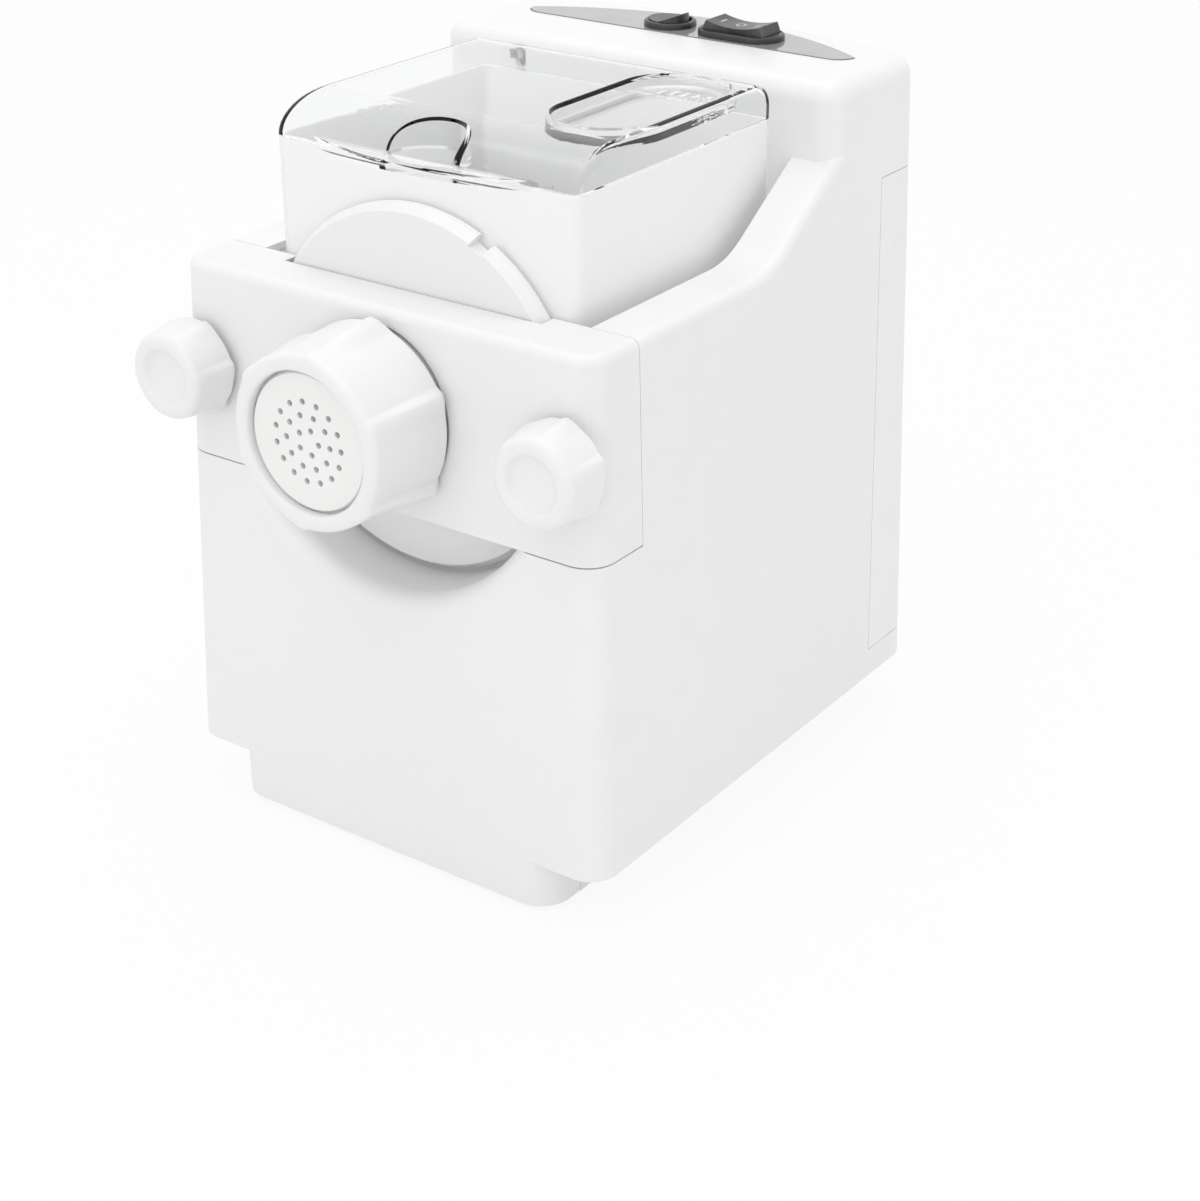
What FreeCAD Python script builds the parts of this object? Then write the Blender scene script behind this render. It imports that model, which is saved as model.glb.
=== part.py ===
import FreeCAD, Part
import math
import os

# Electric pasta maker: a white housing with a clear mixing cup and lid, a front panel held by
# two knobs, a ring nut with its shaping die, a geared motor drive and two rocker switches.
# All sizes are in millimetres. While modelling, y = 0 is the front panel's face at deck height
# and z = 0 is the underside of the plinth. The saved solids stand on their rubber feet at
# z = 0, with the origin below the middle of the whole machine.

from FreeCAD import Vector as V

# Driving dimensions of the housing
DECK_Z = 233.5
DECK_HALF_WIDTH = 100.0
DRAFT = 0.03
PLINTH_TOP_Z = 21.0
TOWER_FRONT_Y = 165.0
TOWER_TOP_Z = 295.0
REAR_APEX_Y = 247.0
REAR_BOW_R = 346.0
FRONT_CORNER_R = 12.0
REAR_CORNER_R = 13.0
TOWER_CORNER_R = 10.0
TOWER_TOP_R = 8.0
CORNER_BLOCK_X = 88.0
DECK_EDGE_R = 4.0
WALL = 3.0
SLOPE_START_Y = 118.0
SLOPE_END_Z = 264.0
SLOPE_BLEND_R = 40.0
FOOT_HEIGHT = 2.0

# Plinth under the housing
PLINTH_HALF_WIDTH = 83.0
PLINTH_REAR_Y = 236.0
PLINTH_CORNER_R = 14.0
SKIRT_DEPTH_Y = 14.0
FLOOR_TOP_Z = 4.0
TRAY_SCREW_R = 1.8
TRAY_SCREWS = [(x, y) for x in (-74.0, 74.0) for y in (46.0, 118.0, 190.0)]

# Rear cover
SEAM_Y = 203.0
COVER_Z0 = 34.0
COVER_Z1 = 250.0
SEAM_GAP = 0.3
COVER_SCREW_X = 81.0
COVER_SCREW_Z = (50.0, 234.0)
INLET_X = -58.0
INLET_Z = 66.0
INLET_FACE_Y = 241.5

# Common axis of cup, screw, barrel, ring nut and output shaft
AXIS_Z = 192.5

# Cradle that the cup slides into
CRADLE_R = 79.0
CRADLE_WALL = 3.0
CRADLE_Y0 = 24.0
MOUTH_R = 75.2
MOUTH_EDGE_R = 8.0

# Front panel
PANEL_BOTTOM_Z = 152.8
PANEL_MID_DEPTH = 20.4
PANEL_SIDE_DEPTH = 28.0
PANEL_GAP = 0.3
PANEL_FOOT_GAP = 0.6
PANEL_HOLE_R = 34.4
COLLAR_WALL = 2.2
DISC_ROOM_R = 74.5
CORNER_FILL_Z = 206.0
KNOB_X = 89.0

# Knobs, ring nut and die
KNOB_BACK_Y = -4.0
KNOB_FRONT_Y = -23.4
KNOB_R_BACK = 19.4
KNOB_R_FRONT = 17.7
KNOB_DISH_R = 10.8
STUD_R = 4.0
NUT_BACK_Y = -3.2
NUT_FRONT_Y = -42.2
NUT_R_BACK = 36.6
NUT_R_FRONT = 35.0
NUT_MOUTH_R = 28.0
NUT_BORE_R = 33.3
NUT_LIP = 4.5
RIDGES = 6
NUT_RIDGE_ANGLE = 24.0
DIE_R = 32.6
DIE_THICK = 7.5
BARREL_R = 33.0
BARREL_BORE_R = 22.0
BARREL_FRONT_Y = -29.6

# Front disc of the cup
DISC_FRONT_Y = 21.0
DISC_EDGE_DEPTH = 4.0
DISC_BACK_Y = 27.3
DISC_R_FRONT = 70.8
DISC_R_BACK = 73.5
DISC_NOTCH_ANGLE = 63.0
DISC_NOTCH_WIDTH = 7.0
CUP_MOUTH_R = 58.0

# Mixing cup and lid
CUP_HALF_WIDTH = 72.0
CUP_FRONT_Y = 29.0
CUP_REAR_Y = 161.5
CUP_TOP_Z = 279.6
CUP_WALL = 2.6
CUP_CORNER_R = 5.0
LID_BOTTOM_Z = 280.0
LID_TOP_Z = 294.0
LID_FRONT_Y = 29.5
LID_REAR_Y = 161.0
LID_FRONT_RUN = 28.0
LID_REAR_R = 9.0
LID_SIDE_R = 4.0
LID_WALL = 2.2
LID_KEY_X = -55.0
LID_KEY_WIDTH = 4.4
DISH_X = 44.7
DISH_Y = 109.3
DISH_R = 21.7
DISH_HALF_RUN = 22.2
DISH_DEPTH = 4.6
NOTCH_Y = 33.0
NOTCH_R = 15.5

# Interlock slot in the tower wall
SLOT_X = -55.0
SLOT_WIDTH = 5.8
SLOT_Z0 = 279.3
SLOT_Z1 = 290.0
KEY_REACH = 8.0
PIVOT_Y = 165.0
PIVOT_Z = 284.0

# Control plate and switches
PLATE_FRONT_Y = 201.0
PLATE_REAR_Y = 234.0
PLATE_TIP_X = 81.0
PLATE_TIP_Y = 209.0
PLATE_THICK = 1.6
ROUND_X = -12.2
SWITCH_Y = 214.0
ROUND_R = 11.2
OVAL_X = 23.5
OVAL_HALF_RUN = 8.3
OVAL_R = 11.2
BEZEL_HEIGHT = 2.4
ROUND_CAP_R = 8.6
OVAL_CAP_LENGTH = 30.0
OVAL_CAP_WIDTH = 15.0
CAP_TOP_Z = TOWER_TOP_Z + 7.0
ROCKER_PIVOT_Z = TOWER_TOP_Z - 1.0
POWER_TILT = 9.0
POWER_VEE = 12.0
SADDLE_R = 46.0
SADDLE_DEPTH = 2.2
LEG_WIDTH = 4.8

# Drive train: pitch radii of the gears and the heights of their axes
MOTOR_Z = 82.5
IDLER_Z = 132.5
PINION_R = 8.0
IDLER_GEAR_R = 42.0
IDLER_PINION_R = 10.0
OUTPUT_GEAR_R = 50.0
PINION_TEETH = 12
IDLER_GEAR_TEETH = 63
IDLER_PINION_TEETH = 14
OUTPUT_GEAR_TEETH = 70
TOOTH_CLEARANCE = 0.2
MOTOR_R = 27.0
MOTOR_Y0 = 66.0
MOTOR_Y1 = 158.0
CASE_Y0 = 171.0
CASE_Y1 = 207.0
CASE_HALF_WIDTH = 58.0
CASE_Z0 = 60.0
CASE_Z1 = 252.0
CASE_WALL = 3.0
CASE_SCREW_R = 1.9
STAGE1_Y = (178.0, 187.0)
STAGE2_Y = (190.0, 200.0)
SHAFT_R = 8.0
DOG_ACROSS_FLATS = 11.0
RUNNING_CLEARANCE = 0.05

# Whole machine, front of the ring nut to the rear apex at the housing's lower edge
REAR_LOW_Y = REAR_APEX_Y + DRAFT * (DECK_Z - PLINTH_TOP_Z)
MIDDLE_Y = (NUT_FRONT_Y + REAR_LOW_Y) / 2

os.makedirs("parts", exist_ok=True)


def save(name, shape):
    """Moves a solid from the modelling frame to the standing frame and writes it."""
    placed = shape.copy()
    placed.translate(V(0, -MIDDLE_Y, FOOT_HEIGHT))
    placed.exportStep("parts/" + name + ".step")


def box(x0, x1, y0, y1, z0, z1):
    """A box between two corners."""
    return Part.makeBox(x1 - x0, y1 - y0, z1 - z0, V(x0, y0, z0))


def rod(radius, y0, y1, x=0.0, z=AXIS_Z):
    """A cylinder along y."""
    return Part.makeCylinder(radius, y1 - y0, V(x, y0, z), V(0, 1, 0))


def post(radius, z0, z1, x, y):
    """A cylinder along z."""
    return Part.makeCylinder(radius, z1 - z0, V(x, y, z0), V(0, 0, 1))


def cone(r0, r1, y0, y1, x=0.0, z=AXIS_Z):
    """A cone along y, of radius r0 at y0 and r1 at y1."""
    return Part.makeCone(r0, r1, y1 - y0, V(x, y0, z), V(0, 1, 0))


def ring(r_out, r_in, y0, y1, x=0.0, z=AXIS_Z):
    """A plain ring along y."""
    return rod(r_out, y0, y1, x, z).cut(rod(r_in, y0 - 1, y1 + 1, x, z))


def join(shapes):
    """All shapes as one solid."""
    return shapes[0].multiFuse(shapes[1:])


def fuse(shapes):
    """All shapes as one, with seams between coplanar faces removed."""
    return join(shapes).removeSplitter() if len(shapes) > 1 else shapes[0]


def group(shapes):
    """Separate solids kept together as one sub-part."""
    return Part.makeCompound(shapes)


def half_width(z):
    """Half the housing's width at height z, which grows downward by the draft."""
    return DECK_HALF_WIDTH + DRAFT * (DECK_Z - z)


def front_y(z):
    """The housing's front face at height z."""
    return -DRAFT * (DECK_Z - z)


def rear_y(z):
    """The rear apex at height z."""
    return REAR_APEX_Y + DRAFT * (DECK_Z - z)


def cover_face_y(x, z):
    """The bowed rear wall's outer face at a place on it."""
    return rear_y(z) - REAR_BOW_R + math.sqrt(REAR_BOW_R ** 2 - x ** 2)


def drafted_box(z0, z1, inset):
    """A block with flat drafted front and side walls, running on toward the rear."""
    w0 = half_width(z0) - inset
    w1 = half_width(z1) - inset
    wedge = Part.makeWedge(-w0, z0, -320, -320, -w1, w0, z1, -front_y(z0) - inset, -front_y(z1) - inset, w1)
    wedge.rotate(V(0, 0, 0), V(1, 0, 0), 90)
    return wedge


def body_block(z0, z1, inset=0.0):
    """The drafted block of the housing between two heights, its walls moved inward by inset."""
    lean = V(0, -DRAFT, 1)
    centre = V(0, REAR_APEX_Y - REAR_BOW_R, DECK_Z) - lean * 400
    drum = Part.makeCylinder(REAR_BOW_R - inset, 900, centre, lean)
    block = drafted_box(z0, z1, inset).common(drum)
    rising = [e for e in block.Edges if abs(e.Vertexes[0].Z - e.Vertexes[-1].Z) > (z1 - z0) / 2]
    front = [e for e in rising if e.Vertexes[0].Y < 50]
    block = block.makeFillet(max(FRONT_CORNER_R - inset, 1.0), front)
    rising = [e for e in block.Edges if abs(e.Vertexes[0].Z - e.Vertexes[-1].Z) > (z1 - z0) / 2]
    rear = [e for e in rising if e.Vertexes[0].Y > 150]
    return block.makeFillet(max(REAR_CORNER_R - inset, 1.0), rear)


def above_deck(drop=0.0):
    """Everything above the deck and in front of the tower, lowered into the wall by drop."""
    z0 = DECK_Z - drop
    z1 = SLOPE_END_Z - drop
    y1 = TOWER_FRONT_Y + drop
    rise = math.atan2(SLOPE_END_Z - DECK_Z, TOWER_FRONT_Y - SLOPE_START_Y)
    tangent = SLOPE_BLEND_R * math.tan(rise / 2)
    start = V(0, SLOPE_START_Y - tangent, z0)
    end = V(0, SLOPE_START_Y + tangent * math.cos(rise), z0 + tangent * math.sin(rise))
    half = rise / 2
    mid = V(0, start.y + SLOPE_BLEND_R * math.sin(half), z0 + SLOPE_BLEND_R * (1 - math.cos(half)))
    wall_foot = V(0, y1, z0 + (y1 - SLOPE_START_Y) * math.tan(rise))
    points = [wall_foot, V(0, y1, 400), V(0, -60, 400), V(0, -60, z0)]
    edges = [Part.makeLine(points[3], start), Part.Arc(start, mid, end).toShape()]
    edges.append(Part.makeLine(end, points[0]))
    edges += [Part.makeLine(points[i], points[i + 1]) for i in range(3)]
    face = Part.Face(Part.Wire(edges))
    prism = face.extrude(V(400, 0, 0))
    prism.translate(V(-200, 0, 0))
    return prism


def u_block(radius, y0, y1, top=400.0):
    """A block with a half-round bottom about the common axis and straight sides up to top."""
    return rod(radius, y0, y1).fuse(box(-radius, radius, y0, y1, AXIS_Z, top)).removeSplitter()


def rounded_plinth(inset, z0, z1):
    """The plinth's block, with round corners, moved inward by inset."""
    w = PLINTH_HALF_WIDTH - inset
    y0 = front_y(0) + inset
    block = box(-w, w, y0, PLINTH_REAR_Y - inset, z0, z1)
    uprights = [e for e in block.Edges if abs(e.Vertexes[0].X - e.Vertexes[1].X) < 0.1
                and abs(e.Vertexes[0].Y - e.Vertexes[1].Y) < 0.1]
    return block.makeFillet(PLINTH_CORNER_R - inset, uprights)


def edges_where(shape, test):
    """The shape's edges whose two ends and middle all pass a test."""
    chosen = []
    for edge in shape.Edges:
        middle = edge.valueAt((edge.FirstParameter + edge.LastParameter) / 2)
        if all(test(p) for p in [v.Point for v in edge.Vertexes] + [middle]):
            chosen.append(edge)
    return chosen


def open_slope():
    """Everything above the deck and the slope, with the slope carried on past the tower."""
    rise = math.atan2(SLOPE_END_Z - DECK_Z, TOWER_FRONT_Y - SLOPE_START_Y)
    far = V(0, 320, DECK_Z + (320 - SLOPE_START_Y) * math.tan(rise))
    near = V(0, SLOPE_START_Y, DECK_Z)
    points = [near, far, V(0, 320, 600), V(0, SLOPE_START_Y, 600), near]
    beyond = Part.Face(Part.makePolygon(points)).extrude(V(400, 0, 0))
    beyond.translate(V(-200, 0, 0))
    return above_deck().fuse(beyond.cut(box(-200, 200, 0, TOWER_FRONT_Y - 5, 0, 600))).removeSplitter()


def housing_blank():
    """The housing, tower and panel as one rounded block."""
    block = body_block(PLINTH_TOP_Z, TOWER_TOP_Z)
    hidden = box(-200, 200, TOWER_FRONT_Y + TOWER_CORNER_R + 2, 300, SLOPE_END_Z - 20, 400)
    lower = block.cut(box(-200, 200, -60, 300, SLOPE_END_Z + 10, 400)).cut(open_slope())
    rim = edges_where(lower, lambda p: DECK_Z - 0.01 < p.z < SLOPE_END_Z + 9 and (
        abs(p.x) > half_width(p.z) - 0.05 or p.y < FRONT_CORNER_R + 0.1))
    lower = lower.makeFillet(DECK_EDGE_R, rim)
    tower = block.common(box(-200, 200, TOWER_FRONT_Y, 300, SLOPE_END_Z - 20, 400))
    corners = edges_where(tower, lambda p: abs(p.y - TOWER_FRONT_Y) < 0.2 and abs(p.x) > 90)
    corners = [e for e in corners if abs(e.Vertexes[0].Z - e.Vertexes[1].Z) > 20]
    tower = tower.makeFillet(TOWER_CORNER_R, corners)
    tower = tower.makeFillet(TOWER_TOP_R, edges_where(tower, lambda p: abs(p.z - TOWER_TOP_Z) < 0.01))
    return lower.cut(hidden).fuse(tower)


def front_bay(gap=0.0):
    """The space at the front that the panel fills, made smaller by gap."""
    lift = PANEL_FOOT_GAP if gap > 0 else 0.0
    return box(-150, 150, -60, PANEL_SIDE_DEPTH - gap, PANEL_BOTTOM_Z + lift, 400)


def cover_bay(gap=0.0):
    """The space at the rear that the rear cover fills, made smaller by gap."""
    return box(-150, 150, SEAM_Y + gap, 300, COVER_Z0 + gap, COVER_Z1 - gap)


def stadium(x, y, half_run, radius, z0, z1, along="y"):
    """An upright block whose plan is two half circles joined by straight sides."""
    dx, dy = (0.0, half_run) if along == "y" else (half_run, 0.0)
    ends = [post(radius, z0, z1, x + s * dx, y + s * dy) for s in (-1, 1)]
    if along == "y":
        middle = box(x - radius, x + radius, y - dy, y + dy, z0, z1)
    else:
        middle = box(x - dx, x + dx, y - radius, y + radius, z0, z1)
    return fuse(ends + [middle])


def interlock_slot():
    """The round-ended slot through the tower's front wall."""
    r = SLOT_WIDTH / 2
    y0 = TOWER_FRONT_Y - 2
    y1 = TOWER_FRONT_Y + WALL + 2
    ends = [rod(r, y0, y1, SLOT_X, z) for z in (SLOT_Z0 + r, SLOT_Z1 - r)]
    middle = box(SLOT_X - r, SLOT_X + r, y0, y1, SLOT_Z0 + r, SLOT_Z1 - r)
    return fuse(ends + [middle])


def plate_outline(inset, z0, z1):
    """The control plate's lens shape: a straight front edge and a bowed rear edge."""
    x = PLATE_TIP_X - 2 * inset
    rear = V(0, PLATE_REAR_Y - inset, z0)
    tips = [V(-x, PLATE_TIP_Y, z0), V(x, PLATE_TIP_Y, z0)]
    nose = [V(s * (x - 9.0), PLATE_FRONT_Y + inset, z0) for s in (-1, 1)]
    bend = [V(s * (x - 2.6), PLATE_FRONT_Y + inset + 2.4, z0) for s in (-1, 1)]
    edges = [Part.Arc(tips[0], rear, tips[1]).toShape(), Part.Arc(tips[1], bend[1], nose[1]).toShape(),
             Part.makeLine(nose[1], nose[0]), Part.Arc(nose[0], bend[0], tips[0]).toShape()]
    return Part.Face(Part.Wire(edges)).extrude(V(0, 0, z1 - z0))


def tray_posts():
    """Screw posts on the lower ledge that reach down to the base tray."""
    posts = []
    for x, y in TRAY_SCREWS:
        tab = box(min(x, x * 1.13), max(x, x * 1.13), y - 5, y + 5, PLINTH_TOP_Z, PLINTH_TOP_Z + WALL)
        posts += [post(4.6, FLOOR_TOP_Z + 0.3, PLINTH_TOP_Z + WALL, x, y), tab]
    return posts


def cover_posts():
    """Screw posts for the rear cover, each carried by a rib on the side wall."""
    posts = []
    for side in (-1, 1):
        for z in COVER_SCREW_Z:
            reach = cover_face_y(COVER_SCREW_X + 5, z) - WALL - 0.5
            x0, x1 = sorted((side * COVER_SCREW_X, side * (half_width(z) - WALL + 1)))
            posts.append(rod(4.5, 186.0, reach, side * COVER_SCREW_X, z))
            posts.append(box(x0, x1, 186.0, SEAM_Y - 1, z - 1.5, z + 1.5))
    return posts


def main_housing(blank):
    """Outer shell with deck, tower, bulkhead, front skirt and stud bosses."""
    outer_u = CRADLE_R + CRADLE_WALL + 0.4
    inner = body_block(PLINTH_TOP_Z - 1, TOWER_TOP_Z - WALL, WALL)
    inner = inner.cut(box(-150, 150, -60, PANEL_SIDE_DEPTH + WALL, PANEL_BOTTOM_Z - WALL, 400))
    inner = inner.cut(above_deck(WALL)).cut(u_block(outer_u, -60, TOWER_FRONT_Y + WALL))
    for x0, x1 in ((-120, -CORNER_BLOCK_X), (CORNER_BLOCK_X, 120)):
        inner = inner.cut(box(x0, x1, 150, TOWER_FRONT_Y + TOWER_CORNER_R, SLOPE_END_Z - 10, 400))
    shell = blank.cut(front_bay()).cut(cover_bay()).cut(inner)
    shell = shell.cut(u_block(MOUTH_R, -60, CRADLE_Y0)).cut(u_block(CRADLE_R, CRADLE_Y0 - 0.3, TOWER_FRONT_Y))
    shell = shell.cut(u_block(outer_u, CRADLE_Y0 - 0.3, TOWER_FRONT_Y).cut(above_deck(WALL)).cut(
        box(-150, 150, -60, PANEL_SIDE_DEPTH + WALL, PANEL_BOTTOM_Z - WALL, 400)))
    skirt = rounded_plinth(0, 0.4, PLINTH_TOP_Z + 4).cut(rounded_plinth(WALL, -1, PLINTH_TOP_Z + 6))
    skirt = skirt.common(box(-150, 150, -60, SKIRT_DEPTH_Y, 0, PLINTH_TOP_Z + 4))
    skirt = skirt.common(drafted_box(0, 60, 0.0))
    ledge = body_block(PLINTH_TOP_Z, PLINTH_TOP_Z + WALL).cut(rounded_plinth(WALL, 0, 60)).cut(cover_bay())
    pieces = [shell, skirt, ledge] + tray_posts() + cover_posts()
    for side in (-1, 1):
        boss = rod(8.0, PANEL_SIDE_DEPTH + 1, 48.0, side * KNOB_X, AXIS_Z)
        pieces.append(boss.cut(u_block(outer_u, 0, 60)))
    body = join(pieces)
    bores = [rod(STUD_R, PANEL_SIDE_DEPTH - 1, 46.0, side * KNOB_X, AXIS_Z) for side in (-1, 1)]
    bores += [post(TRAY_SCREW_R + 0.05, 0, 13.0, x, y) for x, y in TRAY_SCREWS]
    bores += [rod(TRAY_SCREW_R + 0.05, 222.0, 260.0, side * COVER_SCREW_X, z) for side in (-1, 1)
              for z in COVER_SCREW_Z]
    bores.append(rod(14.0, TOWER_FRONT_Y - 1, TOWER_FRONT_Y + WALL + 1))
    bores.append(interlock_slot())
    bores.append(plate_outline(-0.15, TOWER_TOP_Z - PLATE_THICK, TOWER_TOP_Z + 1))
    bores.append(post(10.2, TOWER_TOP_Z - 9, TOWER_TOP_Z + 1, ROUND_X, SWITCH_Y))
    bores.append(stadium(OVAL_X, SWITCH_Y, OVAL_HALF_RUN, 10.2, TOWER_TOP_Z - 9, TOWER_TOP_Z + 1, "x"))
    for bore in bores:
        body = body.cut(bore)
    mouth = edges_where(body, lambda p: abs(math.hypot(p.x, p.z - AXIS_Z) - MOUTH_R) < 0.2 and p.y < -1.5)
    return body.makeFillet(MOUTH_EDGE_R, mouth)


def bowl_cradle():
    """U-shaped channel in which the mixing cup lies, open at the front and closed by the bulkhead."""
    outer = u_block(CRADLE_R + CRADLE_WALL, CRADLE_Y0, TOWER_FRONT_Y)
    channel = outer.cut(u_block(CRADLE_R + 0.1, -60, TOWER_FRONT_Y + 1)).cut(above_deck(WALL + 0.2))
    return channel.cut(box(-150, 150, -60, PANEL_SIDE_DEPTH + WALL + 0.2, PANEL_BOTTOM_Z - WALL - 0.2, 400))


def rear_cover(blank):
    """Bowed rear shell that wraps both rear corners, with air slots and the inlet's opening."""
    shell = blank.common(cover_bay(SEAM_GAP)).cut(body_block(PLINTH_TOP_Z - 1, TOWER_TOP_Z, WALL))
    slots = []
    for row in range(9):
        z = 120.0 + 9.0 * row
        for x0, x1 in ((-62.0, -6.0), (6.0, 62.0)):
            slots.append(box(x0, x1, 225, 300, z, z + 3.6))
    pad = box(INLET_X - 20, INLET_X + 20, INLET_FACE_Y - WALL, 260, INLET_Z - 16, INLET_Z + 16)
    shell = join([shell, pad.common(body_block(PLINTH_TOP_Z, TOWER_TOP_Z, 1.0))])
    shell = shell.cut(box(INLET_X - 17.3, INLET_X + 17.3, INLET_FACE_Y, 260, INLET_Z - 13.3, INLET_Z + 13.3))
    cover = shell.cut(group(slots))
    cover = cover.cut(box(INLET_X - 14.2, INLET_X + 14.2, 225, 300, INLET_Z - 10.2, INLET_Z + 10.2))
    holes = [rod(TRAY_SCREW_R + 0.05, 222.0, 260.0, side * COVER_SCREW_X, z) for side in (-1, 1)
             for z in COVER_SCREW_Z]
    return cover.cut(group(holes))


def mains_inlet():
    """Recessed mains inlet: flanged body with a socket and three blades."""
    face_y = INLET_FACE_Y + 0.1
    flange = box(INLET_X - 17, INLET_X + 17, face_y, face_y + 2.5, INLET_Z - 13, INLET_Z + 13)
    body = box(INLET_X - 14, INLET_X + 14, face_y - 24, face_y + 0.5, INLET_Z - 10, INLET_Z + 10)
    socket = box(INLET_X - 12, INLET_X + 12, face_y - 18, face_y + 5, INLET_Z - 8, INLET_Z + 8)
    corners = edges_where(flange, lambda p: True)
    upright = [e for e in corners if abs(e.Vertexes[0].Y - e.Vertexes[1].Y) > 1]
    return fuse([flange.makeFillet(3.0, upright), body]).cut(socket)


def inlet_blades():
    """The inlet's three flat contact blades."""
    y0 = INLET_FACE_Y + 0.1 - 18
    blades = []
    for x, z in ((-7.0, -2.5), (7.0, -2.5), (0.0, 2.5)):
        blades.append(box(INLET_X + x - 1, INLET_X + x + 1, y0, y0 + 15, INLET_Z + z - 2, INLET_Z + z + 2))
    return group(blades)


def base_tray():
    """Plinth behind the front skirt, and the floor that closes the housing from below."""
    wall = rounded_plinth(0, 0, PLINTH_TOP_Z - 0.3).cut(rounded_plinth(WALL, -1, PLINTH_TOP_Z + 6))
    wall = wall.cut(box(-150, 150, -60, SKIRT_DEPTH_Y + SEAM_GAP, -1, PLINTH_TOP_Z + 4))
    floor = rounded_plinth(WALL + 0.4, 1.0, FLOOR_TOP_Z).cut(box(-150, 150, SKIRT_DEPTH_Y + 1, 400, -1, 60))
    rear_floor = rounded_plinth(0, 1.0, FLOOR_TOP_Z)
    rear_floor = rear_floor.cut(box(-150, 150, -60, SKIRT_DEPTH_Y + SEAM_GAP, -1, 60))
    tray = fuse([wall, floor, rear_floor])
    slots = [box(-40, 40, 44.0 + 9 * i, 48.0 + 9 * i, 0, 6) for i in range(7)]
    holes = [post(TRAY_SCREW_R + 0.05, 0, 6, x, y) for x, y in TRAY_SCREWS]
    return tray.cut(group(slots)).cut(group(holes))


def rubber_feet():
    """Four round feet under the plinth."""
    feet = []
    for x in (-66.0, 66.0):
        for y in (28.0, PLINTH_REAR_Y - 22):
            feet.append(post(9.0, -FOOT_HEIGHT, 1.0, x, y).cut(post(3.0, -FOOT_HEIGHT - 1, -0.6, x, y)))
    return group(feet)


def pan_screw(radius, length, head_r, head_h, base, direction):
    """A cross-head screw: head outside the base point, shank along the direction."""
    axis = V(*direction)
    head_base = V(*base) - axis * head_h
    head = Part.makeCylinder(head_r, head_h, head_base, axis)
    shank = Part.makeCylinder(radius, length, V(*base), axis)
    arm = Part.makeCylinder(head_r * 0.28, head_h * 0.5, head_base, axis)
    return head.fuse(shank).removeSplitter().cut(arm)


def base_screws():
    """Six screws that hold the base tray."""
    return group([pan_screw(TRAY_SCREW_R, 11.0, 3.6, 0.9, (x, y, 1.0), (0, 0, 1)) for x, y in TRAY_SCREWS])


def rear_screws():
    """Four screws through the rear cover."""
    screws = []
    for x in (-COVER_SCREW_X, COVER_SCREW_X):
        for z in COVER_SCREW_Z:
            y = cover_face_y(x, z) + 1.0
            screws.append(pan_screw(TRAY_SCREW_R, 12.0, 3.4, 1.6, (x, y, z), (0, -1, 0)))
    return group(screws)


def front_panel(blank):
    """Bridge-shaped front panel, hollow behind, with a barrel hole and two stud sleeves."""
    whole = blank.common(front_bay(PANEL_GAP))
    block = whole.cut(box(-CRADLE_R, CRADLE_R, PANEL_MID_DEPTH, 60, 0, 400))
    wings = [box(s * (CRADLE_R + WALL) if s > 0 else -150, 150 if s > 0 else s * (CRADLE_R + WALL),
                 -60, 60, 0, 400) for s in (-1, 1)]
    middle = box(-CRADLE_R - WALL, CRADLE_R + WALL, -60, PANEL_MID_DEPTH + 5, 0, 400)
    cavity = body_block(PANEL_BOTTOM_Z - 1, DECK_Z - WALL, WALL)
    cavity = cavity.common(box(-150, 150, -60, 60, PANEL_BOTTOM_Z + PANEL_FOOT_GAP + WALL, 400))
    cavity = cavity.common(fuse([middle] + wings))
    shell = block.cut(cavity)
    cheeks = [box(s * CRADLE_R if s > 0 else -CRADLE_R - WALL, CRADLE_R + WALL if s > 0 else s * CRADLE_R,
                  front_y(0) + 20, PANEL_SIDE_DEPTH - PANEL_GAP, PANEL_BOTTOM_Z + PANEL_FOOT_GAP, DECK_Z - 1)
              for s in (-1, 1)]
    collar = rod(PANEL_HOLE_R + COLLAR_WALL, -3, PANEL_MID_DEPTH)
    sleeves = [rod(8.6, 0.2, PANEL_SIDE_DEPTH - PANEL_GAP, s * KNOB_X, AXIS_Z) for s in (-1, 1)]
    reach = CRADLE_R + WALL
    corners = box(-reach, reach, PANEL_MID_DEPTH - WALL, PANEL_SIDE_DEPTH, CORNER_FILL_Z, 400)
    corners = corners.cut(rod(DISC_ROOM_R, -60, 60)).common(whole)
    body = join([shell, corners] + [p.common(block) for p in cheeks + [collar] + sleeves])
    body = body.cut(rod(PANEL_HOLE_R, -20, 60))
    for side in (-1, 1):
        body = body.cut(rod(STUD_R + 0.6, -20, 60, side * KNOB_X, AXIS_Z))
    rim = edges_where(body, lambda p: abs(math.hypot(p.x, p.z - AXIS_Z) - PANEL_HOLE_R) < 0.2 and p.y < 1)
    return body.makeFillet(1.2, rim) if rim else body


def panel_studs():
    """Two threaded studs fixed in the housing, which the knobs screw on."""
    studs = []
    for side in (-1, 1):
        stud = rod(STUD_R, KNOB_BACK_Y - 14.0, 46.0, side * KNOB_X, AXIS_Z)
        grooves = [ring(STUD_R + 1, STUD_R - 0.45, y, y + 0.8, side * KNOB_X, AXIS_Z)
                   for y in (KNOB_BACK_Y - 12.0 + 2.0 * i for i in range(6))]
        studs.append(stud.cut(group(grooves)))
    return group(studs)


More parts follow.
